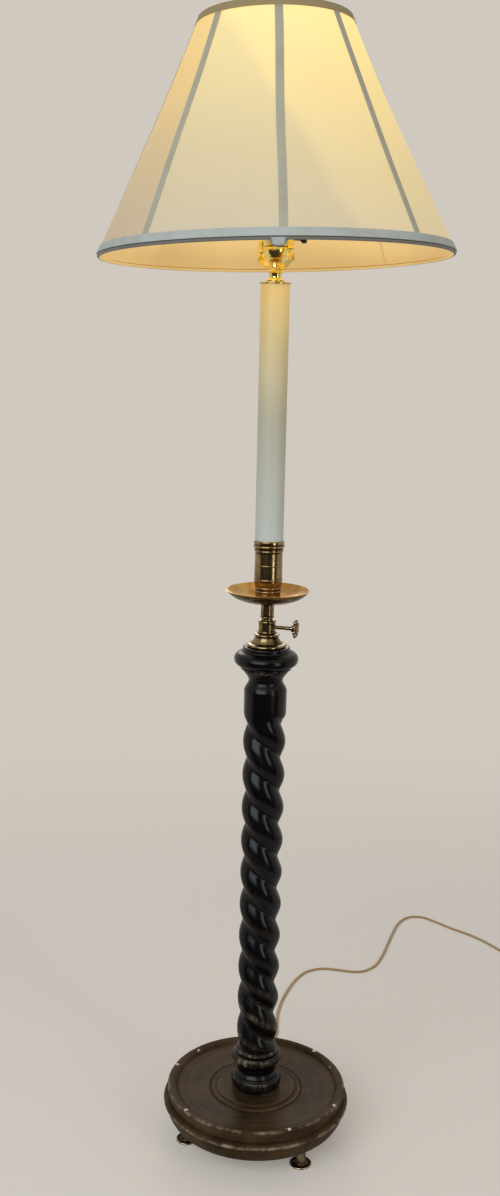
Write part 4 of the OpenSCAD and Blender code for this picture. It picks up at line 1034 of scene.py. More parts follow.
@dataclass(frozen=True)
class Levels:
    """Heights of the stacked pieces and the lean of the shade, as in the part's source."""

    base: float = 31.0
    lip: float = 80.0
    column: float = 76.0
    twist: float = 138.0
    neck: float = 650.0
    capital: float = 709.5
    collar: float = 741.0
    thumb: float = 768.2
    rod_low: float = 421.5
    rod_top: float = 800.5
    sleeve: float = 781.0
    pan: float = 802.0
    cup: float = 803.3
    candle: float = 878.5
    candle_top: float = 1221.0
    coupling: float = 1227.5
    saddle: float = 1239.5
    socket: float = 1240.7
    bulb: float = 1287.0
    hub: float = 1529.5
    shade: float = 1257.5
    lean_side: float = 1.6
    lean_front: float = 1.9

    def lean(self) -> Matrix:
        """The lean of the shade and harp about the middle of the shade's lower edge, in degrees."""
        return (up(self.shade) @ turn("Y", -self.lean_side) @ turn("X", -self.lean_front)
                @ up(-self.shade))


Z = Levels()


# ---- camera, lights and floor ----


@dataclass(frozen=True)
class Lamp:
    """A soft rectangular lamp: its place and aim in metres, width and height, power and tint."""

    name: str
    place: tuple[float, float, float]
    size: tuple[float, float]
    watts: float
    colour: tuple[float, float, float]
    aim: tuple[float, float, float] = (0, 0, 0.8)

    def hang(self) -> None:
        """Puts the lamp at its place, turned to its aim."""
        data = bpy.data.lights.new(self.name, "AREA")
        data.shape, data.energy, data.color = "RECTANGLE", self.watts, self.colour
        data.size, data.size_y = self.size
        at, to = Matrix.Translation(self.place), Matrix.Translation(self.aim)
        way = at.to_translation() - to.to_translation()
        placed(self.name, data).matrix_world = at @ way.to_track_quat("Z", "Y").to_matrix().to_4x4()


@dataclass
class Studio:
    """The camera at the photograph's place, soft lamps, a pale floor that fades into the backdrop, and a
    dim card that polished things mirror. All of it is in metres but the lens and sensor."""

    lens: float = 39.49
    sensor: float = 36.0
    pitch: float = 12.54
    roll: float = 1.24
    place: tuple[float, float, float] = (-0.02324, -1.747, 1.157)
    shift_y: float = 0.0234
    pale: Colour = srgb(208, 201, 191)
    soft: Colour = srgb(244, 243, 246)
    soft_strength: float = 0.36
    ground: Colour = srgb(206, 200, 191)
    fade_from: float = 0.7
    fade_to: float = 2.1
    lift: float = 0.31
    floor_r: float = 14.0
    floor_z: float = -0.0003
    dim: Colour = srgb(54, 49, 44)
    card_half: float = 72.0
    card_rows: tuple[tuple[float, float], ...] = ((0.5, 0.004), (3.2, 0.004), (3.2, 2.6))
    lamps: tuple[Lamp, ...] = (
        Lamp("key", (-1.15, -2.1, 1.9), (2.3, 1.6), 41, (0.9, 0.95, 1.0)),
        Lamp("fill", (1.6, -1.85, 1.1), (0.45, 2.0), 12, (1.0, 0.95, 0.88)),
        Lamp("back", (-0.2, 2.4, 1.7), (1.2, 0.8), 8, (1.0, 0.98, 0.95), (0, 0, 0.2)))

    def camera(self) -> None:
        """Makes the camera and sets it as the scene's."""
        data = bpy.data.cameras.new("camera")
        data.lens, data.sensor_width, data.sensor_fit = self.lens, self.sensor, "AUTO"
        data.shift_y = self.shift_y
        data.clip_start, data.clip_end = 0.05, 60.0
        made = placed("camera", data)
        made.matrix_world = Matrix.Translation(self.place) @ turn("X", 90 - self.pitch) @ turn("Z", self.roll)
        bpy.context.scene.camera = made

    def world(self) -> None:
        """A dim even world that camera, transmission and glossy rays see as the pale backdrop."""
        g = Graph("world", world=True)
        bpy.context.scene.world = g.block
        path = g.node("ShaderNodeLightPath", {}, {}).outputs
        seen = Field(g, path["Is Camera Ray"])
        for ray in ("Is Transmission Ray", "Is Glossy Ray"):
            seen = seen.join("MAXIMUM", seen, Field(g, path[ray]))
        soft = g.node("ShaderNodeBackground", {}, {0: self.soft, 1: self.soft_strength}).outputs[0]
        back = g.node("ShaderNodeBackground", {}, {0: self.pale, 1: 1.0}).outputs[0]
        mixed = g.node("ShaderNodeMixShader", {}, {0: seen, 1: soft, 2: back}).outputs[0]
        g.node("ShaderNodeOutputWorld", {}, {0: mixed})

    def staged(self, mesh: bpy.types.Mesh, g: Graph) -> bpy.types.Object:
        """A piece of the set, which is no part of the lamp.

        Args:
            mesh: its mesh, whose name it takes.
            g: its material's graph.
        Returns:
            The object.
        """
        mesh.materials.append(g.block)
        made = placed(mesh.name, mesh)
        return made

    def floor(self) -> None:
        """A wide round floor whose colour fades into the backdrop's with distance from the lamp. Its lift,
        which camera rays alone see, brings it near the backdrop's tone before the fade."""
        g = Graph("pale_floor")
        x, y = g.axis(0), g.axis(1)
        far = ((x * x + y * y) ** 0.5).step(self.fade_from, self.fade_to)
        near = g.node("ShaderNodeBsdfPrincipled", {}, {
            "Base Color": self.ground, "Roughness": 0.75, "Specular IOR Level": 0.2,
            "Normal": g.bump(g.noise(g.place(), 260, 2, 0.5), 0.1)}).outputs[0]
        back = g.node("ShaderNodeEmission", {}, {"Color": self.pale, "Strength": 1.0}).outputs[0]
        seen = g.field("ShaderNodeLightPath", {}, {}, "Is Camera Ray")
        lift = g.node("ShaderNodeEmission", {}, {"Color": self.pale, "Strength": seen * self.lift}).outputs[0]
        lifted = g.node("ShaderNodeAddShader", {}, {0: near, 1: lift}).outputs[0]
        both = g.node("ShaderNodeMixShader", {}, {0: far, 1: lifted, 2: back}).outputs[0]
        g.node("ShaderNodeOutputMaterial", {}, {0: both})
        line = np.stack([np.linspace(0, self.floor_r, 24), np.full(24, self.floor_z)], -1) / MM
        self.staged(Shape().grid(spun(line, 96)).mesh("floor"), g)

    def card(self) -> None:
        """A dim curved card behind the camera that only glossy rays see, as a darker room is seen in
        polished metal and wood: it lies on the floor and then stands on an arc about the lamp."""
        g = Graph("dim_card")
        dim = g.node("ShaderNodeEmission", {}, {"Color": self.dim, "Strength": 1.0}).outputs[0]
        g.node("ShaderNodeOutputMaterial", {}, {0: dim})
        a = np.radians(-90 + np.linspace(-self.card_half, self.card_half, 18))
        rows = np.array([[(r * np.cos(t), r * np.sin(t), z) for t in a] for r, z in self.card_rows]) / MM
        made = self.staged(Shape().grid(rows, wrap_cols=False).mesh("card"), g)
        made.visible_camera = made.visible_diffuse = made.visible_shadow = made.visible_transmission = False

    def build(self) -> None:
        """Camera, world, floor, card and lamps."""
        self.camera()
        self.world()
        self.floor()
        self.card()
        for lamp in self.lamps:
            lamp.hang()


# ---- cord ----


@dataclass
class Cord:
    """The flat twin cord: its run over the floor, its coil, its bush in the base, and its plug."""

    width: float = 5.6
    thick: float = 2.8
    nose_end: float = 147.0
    exit_z: float = 40.0
    rest: float = 1.4
    skirt_r: float = 125.0
    coil_r: float = 42.0
    coil_x: float = 548.0
    coil_y: float = 520.0
    pitch: float = 6.2
    rise: float = 3.4
    turns: int = 3
    draw: float = 0.15
    turn_points: int = 84
    plug_gap: float = 36.0
    length: float = 2.412
    plug_l: float = 28.0

    def route(self) -> Points:
        """The run's listed points, down from the bush and then along the floor.

        Returns:
            Its (x, y, z) points as far as the coil's start.
        """
        fall = [(0, 147, 40), (0, 153, 40), (0, 159, 40), (1, 171, 36), (4, 184, 25), (9, 198, 11),
                (16, 213, 2.9)]
        flat = [(23, 229), (31, 252), (37, 276), (38, 305), (40, 340), (48, 384), (61, 428), (77, 468),
                (97, 497), (125, 510), (153, 507), (180, 501), (203, 504), (226, 526), (243, 565),
                (258, 614), (274, 667), (291, 713), (314, 741), (342, 742), (369, 719), (396, 692),
                (423, 669), (449, 640), (472, 606), (489, 576), (501, 552), (506, 536.6), (506, 531.1),
                (506, 525.6)]
        return np.vstack([np.array(fall, float), np.array([(x, y, self.rest) for x, y in flat], float)])

    def coil(self) -> Points:
        """The coil: centre - r (cos a, sin a), where r shrinks by the pitch each turn for three turns,
        holds for half a turn while it climbs to the second layer, and grows back.

        Returns:
            Its (x, y, z) points, and a short straight lead to the plug.
        """
        layer, half = self.turns * 360.0, 180
        a = np.arange(0, (2 * layer + half) + 1e-6, 360.0 / self.turn_points)[1:]
        climb = (a - layer) / half
        share = np.where(a <= layer, a / 360,
                         np.where(a <= layer + half, self.turns + self.draw * np.sin(np.pi * climb),
                                  2 * self.turns - (a - half) / 360))
        r, w = self.coil_r - self.pitch * share, np.radians(a)
        turns = np.stack([self.coil_x - r * np.cos(w), self.coil_y - r * np.sin(w),
                          self.rest + self.rise * ease(climb)], -1)
        x, z = self.coil_x + self.coil_r, self.rest + self.rise
        end = np.array([(x, self.coil_y + s, z) for s in (9.0, 18.0, 27.0, self.plug_gap)])
        return np.vstack([[(self.coil_x - self.coil_r, self.coil_y, self.rest)], turns, end])

    def section(self) -> Points:
        """Two round cores side by side: (r + r cos a, r sin a) for a from -150 to 150 degrees, and the
        same points turned half round.

        Returns:
            The closed section's points.
        """
        a = np.radians(np.linspace(-150, 150, 14))
        r = self.thick / 2
        right = np.stack([r + r * np.cos(a), r * np.sin(a)], -1)
        return np.vstack([right, -right])

    def lead(self) -> tuple[bpy.types.Object, Points]:
        """The whole cord as one mesh tube.

        Returns:
            The piece, and the path it follows.
        """
        path = np.vstack([smooth_path(self.route(), 8), self.coil()])
        tube = swept(path, self.section())
        piece = Shape().grid(tube).build("flat_cord", [JACKET], ["cord_run", "cord_coil"], sharp=60)
        return piece, path

    def bush(self) -> None:
        """The tapered bush: a flange, then a nose with three shallow relief grooves."""
        bore, inner, skirt = 3.1, 90.0, self.skirt_r
        grooves = [(5.6 - 0.055 * s - (0.5 if k % 2 else 0.0), skirt + s)
                   for k, s in enumerate((5, 7, 9, 11, 13, 15, 17))]
        line = outline([(bore, inner), (4.9, inner), (4.9, skirt), (7.4, skirt), (7.4, skirt + 1.6),
                        (5.8, skirt + 2.4)], grooves,
                       [(4.4, self.nose_end - 1), (4.0, self.nose_end), (bore, self.nose_end)])
        place = turn("X", -90) @ shift(0, -self.exit_z, 0)
        lathe("fine_cord_bushing", "cord_bushing", BLACK, line, place, 0.4, 2.0, 64)

    def plug(self) -> bpy.types.Object:
        """The plug's body: rounded sections |x/w|^4 + |z/h|^4 = 1 along its length, waisted for the grip.

        Returns:
            The piece.
        """
        stations = np.array([  # along the length, half width, half height
            (0, 3.2, 3.2), (0.3, 4.0, 4.0), (1.2, 4.3, 4.3), (2.2, 3.7, 3.8), (3.4, 4.4, 4.3),
            (4.4, 3.8, 3.8), (5.6, 4.4, 4.3), (6.6, 3.9, 4.0), (7.6, 5.2, 4.6), (9, 6.6, 5.0),
            (11, 8.6, 5.4), (13, 10.1, 5.5), (15, 10.9, 5.5), (18, 10.6, 5.1), (21, 10.5, 5.1),
            (24, 10.9, 5.4), (26, 11, 5.5), (27.2, 10.6, 5.2), (27.8, 9.8, 4.6), (28, 8.8, 3.8)])
        y, w, h = (stations[:, k:k + 1] for k in range(3))
        mid = np.where(y < 7.6, 4.8, 5.5)
        a = np.linspace(0, 2 * np.pi, 48, endpoint=False)
        x = w * np.sign(np.cos(a)) * np.abs(np.cos(a)) ** 0.5
        z = h * np.sign(np.sin(a)) * np.abs(np.sin(a)) ** 0.5
        px, py = self.coil_x + self.coil_r, self.coil_y + self.plug_gap
        rows = np.stack([px + x, py + y + 0 * x, mid + z], -1)
        cap = np.tile([px, py, 5.0], (1, 48, 1))
        grid = np.concatenate([cap, rows, cap + np.array([0, self.plug_l, 0.5])])
        return Shape().grid(grid).build("fine_plug", [PLUG], ["plug_body"])

    def build(self) -> None:
        """Cord, bush and plug, and finishes for the plug's blades and the leads."""
        piece, path = self.lead()
        self.bush()
        plug = self.plug()
        dress(BRIGHT, "plug_blades")
        dress(JACKET, "inner_lead", "upper_lead")


# ---- base ----


@dataclass
class Base:
    """Three brass feet and the turned, dished wooden base with its weight below."""

    base_d: float = 271.2
    lip_d: float = 260.0
    skirt_d: float = 250.0
    ring_r: float = 66.0
    weight_d: float = 172.0
    weight_gap: float = 0.3
    recess: float = 46.0
    bore: float = 10.6
    foot_h: float = 31.0
    pad_r: float = 15.8
    foot_circle: float = 104.0
    foot_angles: tuple[float, ...] = (196.0, 309.0, 72.0)
    column_r: float = 36.5

    def line(self) -> Points:
        """The base's half outline: recess, skirt, bead, cove, lip, dish, stepped ring, seat and bore.

        Returns:
            Its (r, z) points, anticlockwise.
        """
        bead, lip, skirt, ring = self.base_d / 2, self.lip_d / 2, self.skirt_d / 2, self.ring_r
        top, low, inside = Z.lip, Z.base, self.weight_d / 2 + self.weight_gap
        return outline([(self.bore, self.recess), (inside, self.recess), (inside, low), (skirt - 3, low),
                        (skirt, low + 2.2), (skirt + 4, low + 9), (bead - 4.4, low + 16),
                        (bead - 3, low + 22.6)],
                       arc(bead - 3, low + 26, 3, -50, 70, 10),
                       [(lip - 1.6, low + 30.4), (lip - 2, low + 32.5), (lip - 0.9, top - 12),
                        (lip - 0.2, top - 8)],
                       arc(lip - 3.4, top - 3.4, 3.4, 0, 95, 12),
                       [(lip - 8, top - 0.8), (lip - 11.6, top - 2.2), (lip - 13, top - 4.2),
                        (lip - 16, top - 5.4), (lip - 24, top - 6.4), (ring + 14, top - 8.2),
                        (ring + 3, top - 8.2), (ring + 1, top - 9.2), (ring - 1, top - 7),
                        (ring - 7, top - 6.6), (ring - 9, top - 5.2), (self.column_r + 9, top - 4.6),
                        (self.column_r + 2, Z.column), (self.bore, Z.column)])

    def feet(self) -> None:
        """A foot's outline spun three times: flared pad, stem, and the flange under the base."""
        h, r = self.foot_h, self.pad_r
        line = outline([(2.3, 4), (4.7, 4), (4.7, 0), (r - 1.4, 0)], arc(r - 1.4, 1.4, 1.4, -80, 120, 10),
                       [(r - 3.6, 1.9), (10.2, 2.8), (7.8, 5.4), (7.2, 10), (7.2, h - 9), (9.2, h - 5),
                        (11, h - 3.5), (11, h), (2.3, h)])
        shape = Shape()
        for angle in self.foot_angles:
            shape.at(turn("Z", angle) @ shift(self.foot_circle, 0, 0)).turned(line, 1.2, 2.0, 72)
        shape.build("fine_feet", [FOOT], ["feet"])

    def build(self) -> None:
        """The base, its feet, and the fittings below."""
        lathe("fine_base", "base_disc", WORN_WOOD, self.line(), None, 1.1, 2.4, 240, width=0.9)
        self.feet()
        dress(STEEL, "foot_screws", "weight_screws", "lock_washer", "lock_nut")
        dress(IRON, "base_weight")


# ---- column ----


@dataclass
class Column:
    """The ebonised column: turned foot, left-handed two-strand twist, block and neck, and the capital."""

    foot_h: float = 62.0
    foot_r: float = 36.5
    twist_h: float = 512.0
    twist_d: float = 59.0
    spread: float = 13.4
    pitch: float = 97.2
    fade_top: float = 15.0
    fade_bottom: float = 18.0
    neck_h: float = 59.5
    neck_r: float = 23.2
    capital_h: float = 31.5
    capital_r: float = 44.2
    step_r: float = 32.2
    bore: float = 10.6
    soft: float = 0.14
    foot_step: float = 1.5
    phase: float = 20.0
    core_share: float = 0.355

    def foot(self) -> None:
        """Two half-round rings with a waist between them."""
        ring, top = self.foot_r, self.foot_h
        waist, r = ring - 8.7, self.twist_d / 2
        swell = arc(0, 0, 1, -58, 76, 14) * [6, 9] + [ring - 6, 11]
        line = outline([(self.bore, 0), (ring - 3.6, 0)], swell,
                       [(ring - 5.6, 21), (ring - 5.2, 22.6), (ring - 6.2, 24), (waist, 27.5),
                        (waist, top - 24), (waist + 2, top - 20.5)],
                       arc(ring - 7, top - 13, 7, -75, 68, 14),
                       [(r, top - 6.2), (r + 1.2, top - 5.2), (r + 1.4, top - 3), (r + 0.6, top - 1.2),
                        (r - 1.5, top), (self.bore, top)])
        lathe("fine_column_foot", "column_foot", EBONISED, line, up(Z.column), 0.7, 2.0, 144, width=1.8)

    def twist(self) -> None:
        """Two overlapping circles, d sqrt(cos^2 a + e^2) + sqrt(r^2 - d^2 sin^2 a), turned with height: the
        reach at angle a, where e softens the groove, faded into a plain round at both ends. The crests carry
        wear and the grooves darkening."""
        rows, cols = 480, 112
        h = np.linspace(0, self.twist_h, rows)[:, None]
        a = np.linspace(0, 2 * np.pi, cols, endpoint=False)[None]
        d = self.spread / 2
        r = self.twist_d / 2 - d
        reach = d * np.sqrt(np.cos(a) ** 2 + self.soft**2) + np.sqrt(r * r - (d * np.sin(a)) ** 2)
        reach = np.minimum(reach, self.twist_d / 2)
        w = ease(h / self.fade_bottom) * ease((self.twist_h - h) / self.fade_top)
        plain = np.where(h < self.twist_h / 2, self.twist_d / 2 - self.foot_step, self.twist_d / 2)
        radius = w * reach + (1 - w) * plain
        angle = a + np.radians(-90 + (self.twist_h - self.phase - h) * 360 / self.pitch)
        side = np.stack([radius * np.cos(angle), radius * np.sin(angle), h + 0 * a], -1)
        core = [self.core_share, self.core_share, 1]
        crest = np.abs(np.cos(a)) ** 6 * w
        lip = np.exp(-0.5 * ((np.abs(np.cos(a)) - 0.16) / 0.06) ** 2) * w
        groove = np.exp(-0.5 * (np.cos(a) / 0.07) ** 2) * w
        pad = np.zeros((1, cols))
        wear = np.vstack([pad, np.clip(crest * 0.7 + lip * 0.85, 0, 1), pad])
        grime = np.vstack([pad, groove, pad])
        grid = np.concatenate([side[:1] * core, side, side[-1:] * core])
        Shape(up(Z.twist)).grid(grid, wrap_rows=True, wear=wear, grime=grime).build(
            "fine_twist", [EBONISED], ["twist_column"], sharp=50)

    def neck(self) -> None:
        """A round block, a drawn-in neck and a flare up to the capital."""
        block, narrow, h = self.twist_d / 2, self.neck_r, self.neck_h
        line = outline([(self.bore, 0), (block, 0), (block, 0.2), (block, h - 29.4), (block - 0.5, h - 28.4),
                        (block - 2, h - 24.8), (narrow + 1.2, h - 20.2), (narrow, h - 16.4),
                        (narrow + 1.6, h - 11.6), (narrow + 4.8, h - 7.2), (self.step_r - 1, h - 3),
                        (self.step_r + 0.4, h), (self.bore, h)])
        lathe("fine_neck", "column_neck", EBONISED, line, up(Z.neck), 1.2, 2.0, 144, width=1.4,
              marked=(4, h - 1))

    def capital(self) -> None:
        """A big round moulding and a straight upper step."""
        r, h, step = self.capital_r, self.capital_h, self.step_r
        line = outline([(self.bore, 0), (step + 2.2, 0), (step + 2.7, 0.6), (step + 2.7, 3), (step + 2, 3.8),
                        (step + 3.4, 4.4)], arc(r - 9.6, 14, 9.6, -62, 68, 16),
                       [(step + 1, h - 6.6), (step, h - 5.4), (step, h - 1), (step - 1, h), (self.bore, h)])
        lathe("fine_capital", "capital", EBONISED, line, up(Z.capital), 0.8, 2.0, 160, width=1.8)

    def build(self) -> None:
        """All four wooden pieces, and the tie tube inside them."""
        self.foot()
        self.twist()
        self.neck()
        self.capital()
        dress(STEEL, "tie_tube")


# ---- collar, thumbscrew and rod ----


@dataclass
class Slide:
    """The bell collar with its thumbscrew, and the brass rod that slides in it."""

    flange_r: float = 26.7
    height: float = 37.0
    barrel_r: float = 11.5
    bore: float = 8.05
    hollow_r: float = 10.52
    azimuth: float = -17.0
    shank_r: float = 2.7
    thread: float = 0.28
    tip: float = 9.8
    reach: float = 43.5
    head_r: float = 12.7
    head_t: float = 5.0
    lobes: int = 8
    rod_r: float = 8.0
    rod_bore: float = 6.6

    def collar(self) -> None:
        """The bell: a rolled foot, a hollow flare, two beads, the barrel and a beaded mouth."""
        f, b, h, bore, hollow = self.flange_r, self.barrel_r, self.height, self.bore, self.hollow_r
        line = outline([(hollow, 16), (hollow, 0)], arc(f - 2.1, 2.1, 2.1, -90, 75, 10),
                       [(f - 4.4, 4.5), (f - 6.2, 5.6), (f - 8.4, 8.6), (f - 10, 11.6), (f - 11.2, 14.4),
                        (f - 11.2, 15.2)],
                       arc(f - 10.4, 16.6, 1.4, -60, 80, 8), [(b + 1.6, 18.6)],
                       arc(b - 0.1, 20.4, 1.2, -60, 80, 8), [(b, 22.4), (b, h - 4.6)],
                       arc(b - 0.7, h - 2.4, 1.7, -55, 80, 8), [(b - 1.6, h), (bore, h), (bore, 16)])
        lathe("fine_collar", "bell_collar", AGED, line, up(Z.collar), 0.6, 1.5, 128, width=0.9)

    def thumbscrew(self) -> None:
        """A shank and washer, and a rosette whose rim reach at angle a is the larger of its disc and the
        lobe circle c cos d + sqrt(p^2 - c^2 sin^2 d) about each lobe's middle."""
        tip, head = self.tip, self.reach - self.head_t
        lobe = self.head_r * 0.26
        c = self.head_r - lobe
        shape = Shape(up(Z.thumb) @ turn("Z", self.azimuth) @ turn("Y", 90))
        threads = [(self.shank_r - (self.thread if k % 2 else 0.0), tip + 0.4 + 0.5 * k) for k in range(34)]
        shank = outline([(0, tip)], [(self.shank_r - 0.4, tip)], threads,
                        [(self.shank_r, 27.4), (self.shank_r, head + 1), (0, head + 1)])
        shape.turned(shank, 0.15, 4.0, 48, closed=False, finish_line=False)
        washer = outline([(0, head - 3.4), (4.9, head - 3.4), (4.9, head - 1.8), (4.2, head - 1.8),
                          (6.5, head + 0.2), (0, head + 0.2)])
        shape.turned(washer, 0.3, 2.0, 64, closed=False, width=0.6)
        a = np.linspace(0, 2 * np.pi, 192, endpoint=False)
        off = (a - np.pi / self.lobes) % (2 * np.pi / self.lobes)
        off = np.minimum(off, 2 * np.pi / self.lobes - off)
        bump = np.sqrt(np.maximum(lobe**2 - (c * np.sin(off)) ** 2, 0))
        rim = np.maximum(c * 0.985, c * np.cos(off) + bump)
        rows = np.array([  # radius, share of the lobes in it, height
            (0, 0, 0.0), (5, 0, 0.1), (8, 0.5, 0.15), (11.4, 1, 0.1), (12.3, 1, 0.5), (12.7, 1, 1.3),
            (12.7, 1, 2.5), (12.3, 1, 3.3), (11.4, 1, 3.75), (10.2, 0.9, 3.8), (9.0, 0.6, 3.5),
            (8.0, 0.3, 3.05), (7.2, 0.1, 2.95), (6.7, 0, 3.2), (6.4, 0, 3.9), (5.8, 0, 4.5),
            (4.6, 0, 4.8), (4.2, 0, 4.6), (3.0, 0, 4.9), (0, 0, 5.0)])
        reach, share, rise = (smooth_path(rows, 3)[:, k:k + 1] for k in range(3))
        radius = np.clip(reach, 0, self.head_r)
        radius = radius * (1 + np.clip(share, 0, 1) * (rim[None] / self.head_r - 1))
        z = head + np.clip(rise, 0, self.head_t) + 0 * a
        wear = np.exp(-0.5 * ((reach - 12.2) / 0.7) ** 2) * 0.8
        grime = np.exp(-0.5 * ((reach - 7.6) / 0.6) ** 2) * (rise > 2) * 0.8
        shape.grid(np.stack([radius * np.cos(a), radius * np.sin(a), z], -1), wear=wear, grime=grime)
        shape.build("fine_thumbscrew", [AGED], ["thumbscrew"], sharp=45)

    def rod(self) -> None:
        """The long straight tube."""
        line = outline([(self.rod_bore, Z.rod_low), (self.rod_r, Z.rod_low), (self.rod_r, Z.rod_top),
                        (self.rod_bore, Z.rod_top)])
        lathe("fine_rod", "height_rod", AGED, line, None, 0.3, 12.0, 96)

    def build(self) -> None:
        """Collar, thumbscrew, rod and the brass pieces hidden with them."""
        self.collar()
        self.thumbscrew()
        self.rod()
        dress(BRIGHT, "clamp_pad", "rod_bush", "rod_plug")


# ---- drip pan, cup and candle ----


@dataclass
class Candle:
    """The sleeve, the spun pan, the ringed cup, and the ivory candle with its brass cap."""

    sleeve_r: float = 9.0
    sleeve_bore: float = 8.02
    sleeve_h: float = 21.0
    pan_r: float = 56.8
    pan_h: float = 17.8
    pan_t: float = 1.3
    cup_r: float = 19.0
    cup_h: float = 84.2
    candle_r: float = 19.0
    wall: float = 1.7
    cap_r: float = 20.6
    cap_t: float = 2.0
    bore: float = 4.92

    def sleeve(self) -> None:
        """A plain sleeve with a bead at its foot."""
        r, h = self.sleeve_r, self.sleeve_h
        line = outline([(self.sleeve_bore, 0), (r - 0.4, 0)], arc(r - 0.5, 1.1, 1.1, -80, 80, 8),
                       [(r, 2.4), (r, h - 2), (r + 1.6, h), (self.bore, h), (self.bore, h - 1.5),
                        (self.sleeve_bore, h - 1.5)])
        lathe("fine_pan_sleeve", "pan_sleeve", AGED, line, up(Z.sleeve), 0.4, 2.0, 96, width=0.8)

    def pan(self) -> None:
        """The pan's under side follows shares of its radius and height, held to half of what the curve
        rises over the chords, and the upper side lies the sheet's thickness inside it."""
        shares = np.array([(0.44, 0.035), (0.62, 0.18), (0.8, 0.42), (0.93, 0.72), (1, 1)])
        under = np.vstack([[(self.cup_r - 0.3, 0)], shares * [self.pan_r, self.pan_h - 0.4]])
        curve = smooth_path(under, 5)
        chord = np.interp(curve[:, 0], under[:, 0], under[:, 1])
        over = np.maximum(curve[:, 1] - chord, 0)
        curve[:, 1] = np.maximum(curve[:, 1] - over * 0.5, 0)
        lift = np.full(len(curve), self.pan_t)
        lift[-1] = self.pan_t * 0.3
        inset = 0.8 * curve[:, 1] * self.pan_t / self.pan_h
        upper = np.stack([curve[:, 0] - inset, curve[:, 1] + lift], -1)[::-1]
        below = rounded(outline([(self.bore, 0)], curve), 0.3)
        above = rounded(outline(curve[-1:], upper, [(self.bore, self.pan_t)]), 0.3)
        inner = np.array([[self.bore, self.pan_t], [self.bore, 0]])
        lip = np.exp(-0.5 * ((self.pan_r - above[:, :1]) / 0.5) ** 2)
        # the underside, slot 1, takes the darker brass: painted shade
        shape = Shape(up(Z.pan)).grid(spun(below, 160), slot=1)
        shape.grid(spun(above, 160), wear=lip).grid(spun(inner, 160))
        shape.build("fine_drip_pan", [PAN_BRASS, SHADED_UNDER], ["drip_pan"])

    def cup(self) -> None:
        """A stem and rings below, a straight wall with a fine line, and rings round the mouth."""
        r, h, rim, fit, seat = self.cup_r, self.cup_h, self.candle_r + 0.7, self.candle_r + 0.1, 75.2
        line = outline([(self.bore, 0), (r - 1.7, 0), (r - 1.7, 10), (r - 2.1, 12.4)],
                       arc(r - 2.3, 15, 1.3, -60, 60, 8), [(r - 1.6, 17.6)],
                       arc(r - 1.5, 20, 1.2, -60, 60, 8), [(r - 0.7, 22.6), (r + 0.1, 28)],
                       arc(r, 31, 0.9, -80, 80, 6), [(r, 33), (r - 0.2, 49.8)],
                       arc(r - 0.3, 50.6, 0.5, -60, 60, 5), [(r - 0.2, 51.4), (r - 0.5, h - 16)],
                       arc(r + 0.3, h - 14.2, 0.8, -70, 70, 6),
                       [(rim - 0.3, h - 12.4), (rim - 0.3, h - 10.6)],
                       arc(rim - 0.2, h - 8, 1.9, -70, 70, 10),
                       [(rim + 0.1, h - 5.4), (rim + 0.9, h - 4.4), (rim + 0.9, h - 1.4),
                        (rim + 0.4, h - 0.4), (rim + 0.1, h), (fit, h), (fit, seat), (self.bore, seat)])
        lathe("fine_cup", "candle_cup", AGED, line, up(Z.cup), 0.35, 2.0, 144, width=0.8)

    def candle(self) -> None:
        """The straight sleeve, with softened ends."""
        r, inner = self.candle_r, self.candle_r - self.wall
        line = outline([(inner, Z.candle), (r, Z.candle), (r, Z.candle_top), (inner, Z.candle_top)])
        lathe("fine_candle", "candle_sleeve", IVORY, line, None, 0.4, 12.0, 144, finish_line=False)

    def cap(self) -> None:
        """A disc with a raised ring, over a spigot inside the candle, and a dark line of painted shadow round
        its edge.
        """
        r, t, spigot, top = self.cap_r, self.cap_t, self.candle_r - self.wall - 0.1, 6.5
        line = outline([(self.bore, -5), (spigot, -5), (spigot, 0), (r, 0), (r, t - 0.4), (r - 0.6, t),
                        (12.6, t + 0.3), (11.4, t + 1.2), (11.4, t + 2.8), (9.4, top), (self.bore, top)])
        shape = Shape(up(Z.candle_top)).turned(line, 0.3, 2.0, 128, width=0.8)
        shadow_gap = arc(r - 0.5, 0.75, 0.6, -90, 90, 6)
        shape.grid(spun(shadow_gap, 128), slot=1).build("fine_candle_cap", [BRIGHT, SHADOW_GAP], ["candle_cap"])

    def build(self) -> None:
        """All of the candle's pieces."""
        self.sleeve()
        self.pan()
        self.cup()
        self.candle()
        self.cap()
        dress(STEEL, "lamp_pipe")


# ---- socket, bulb and harp ----


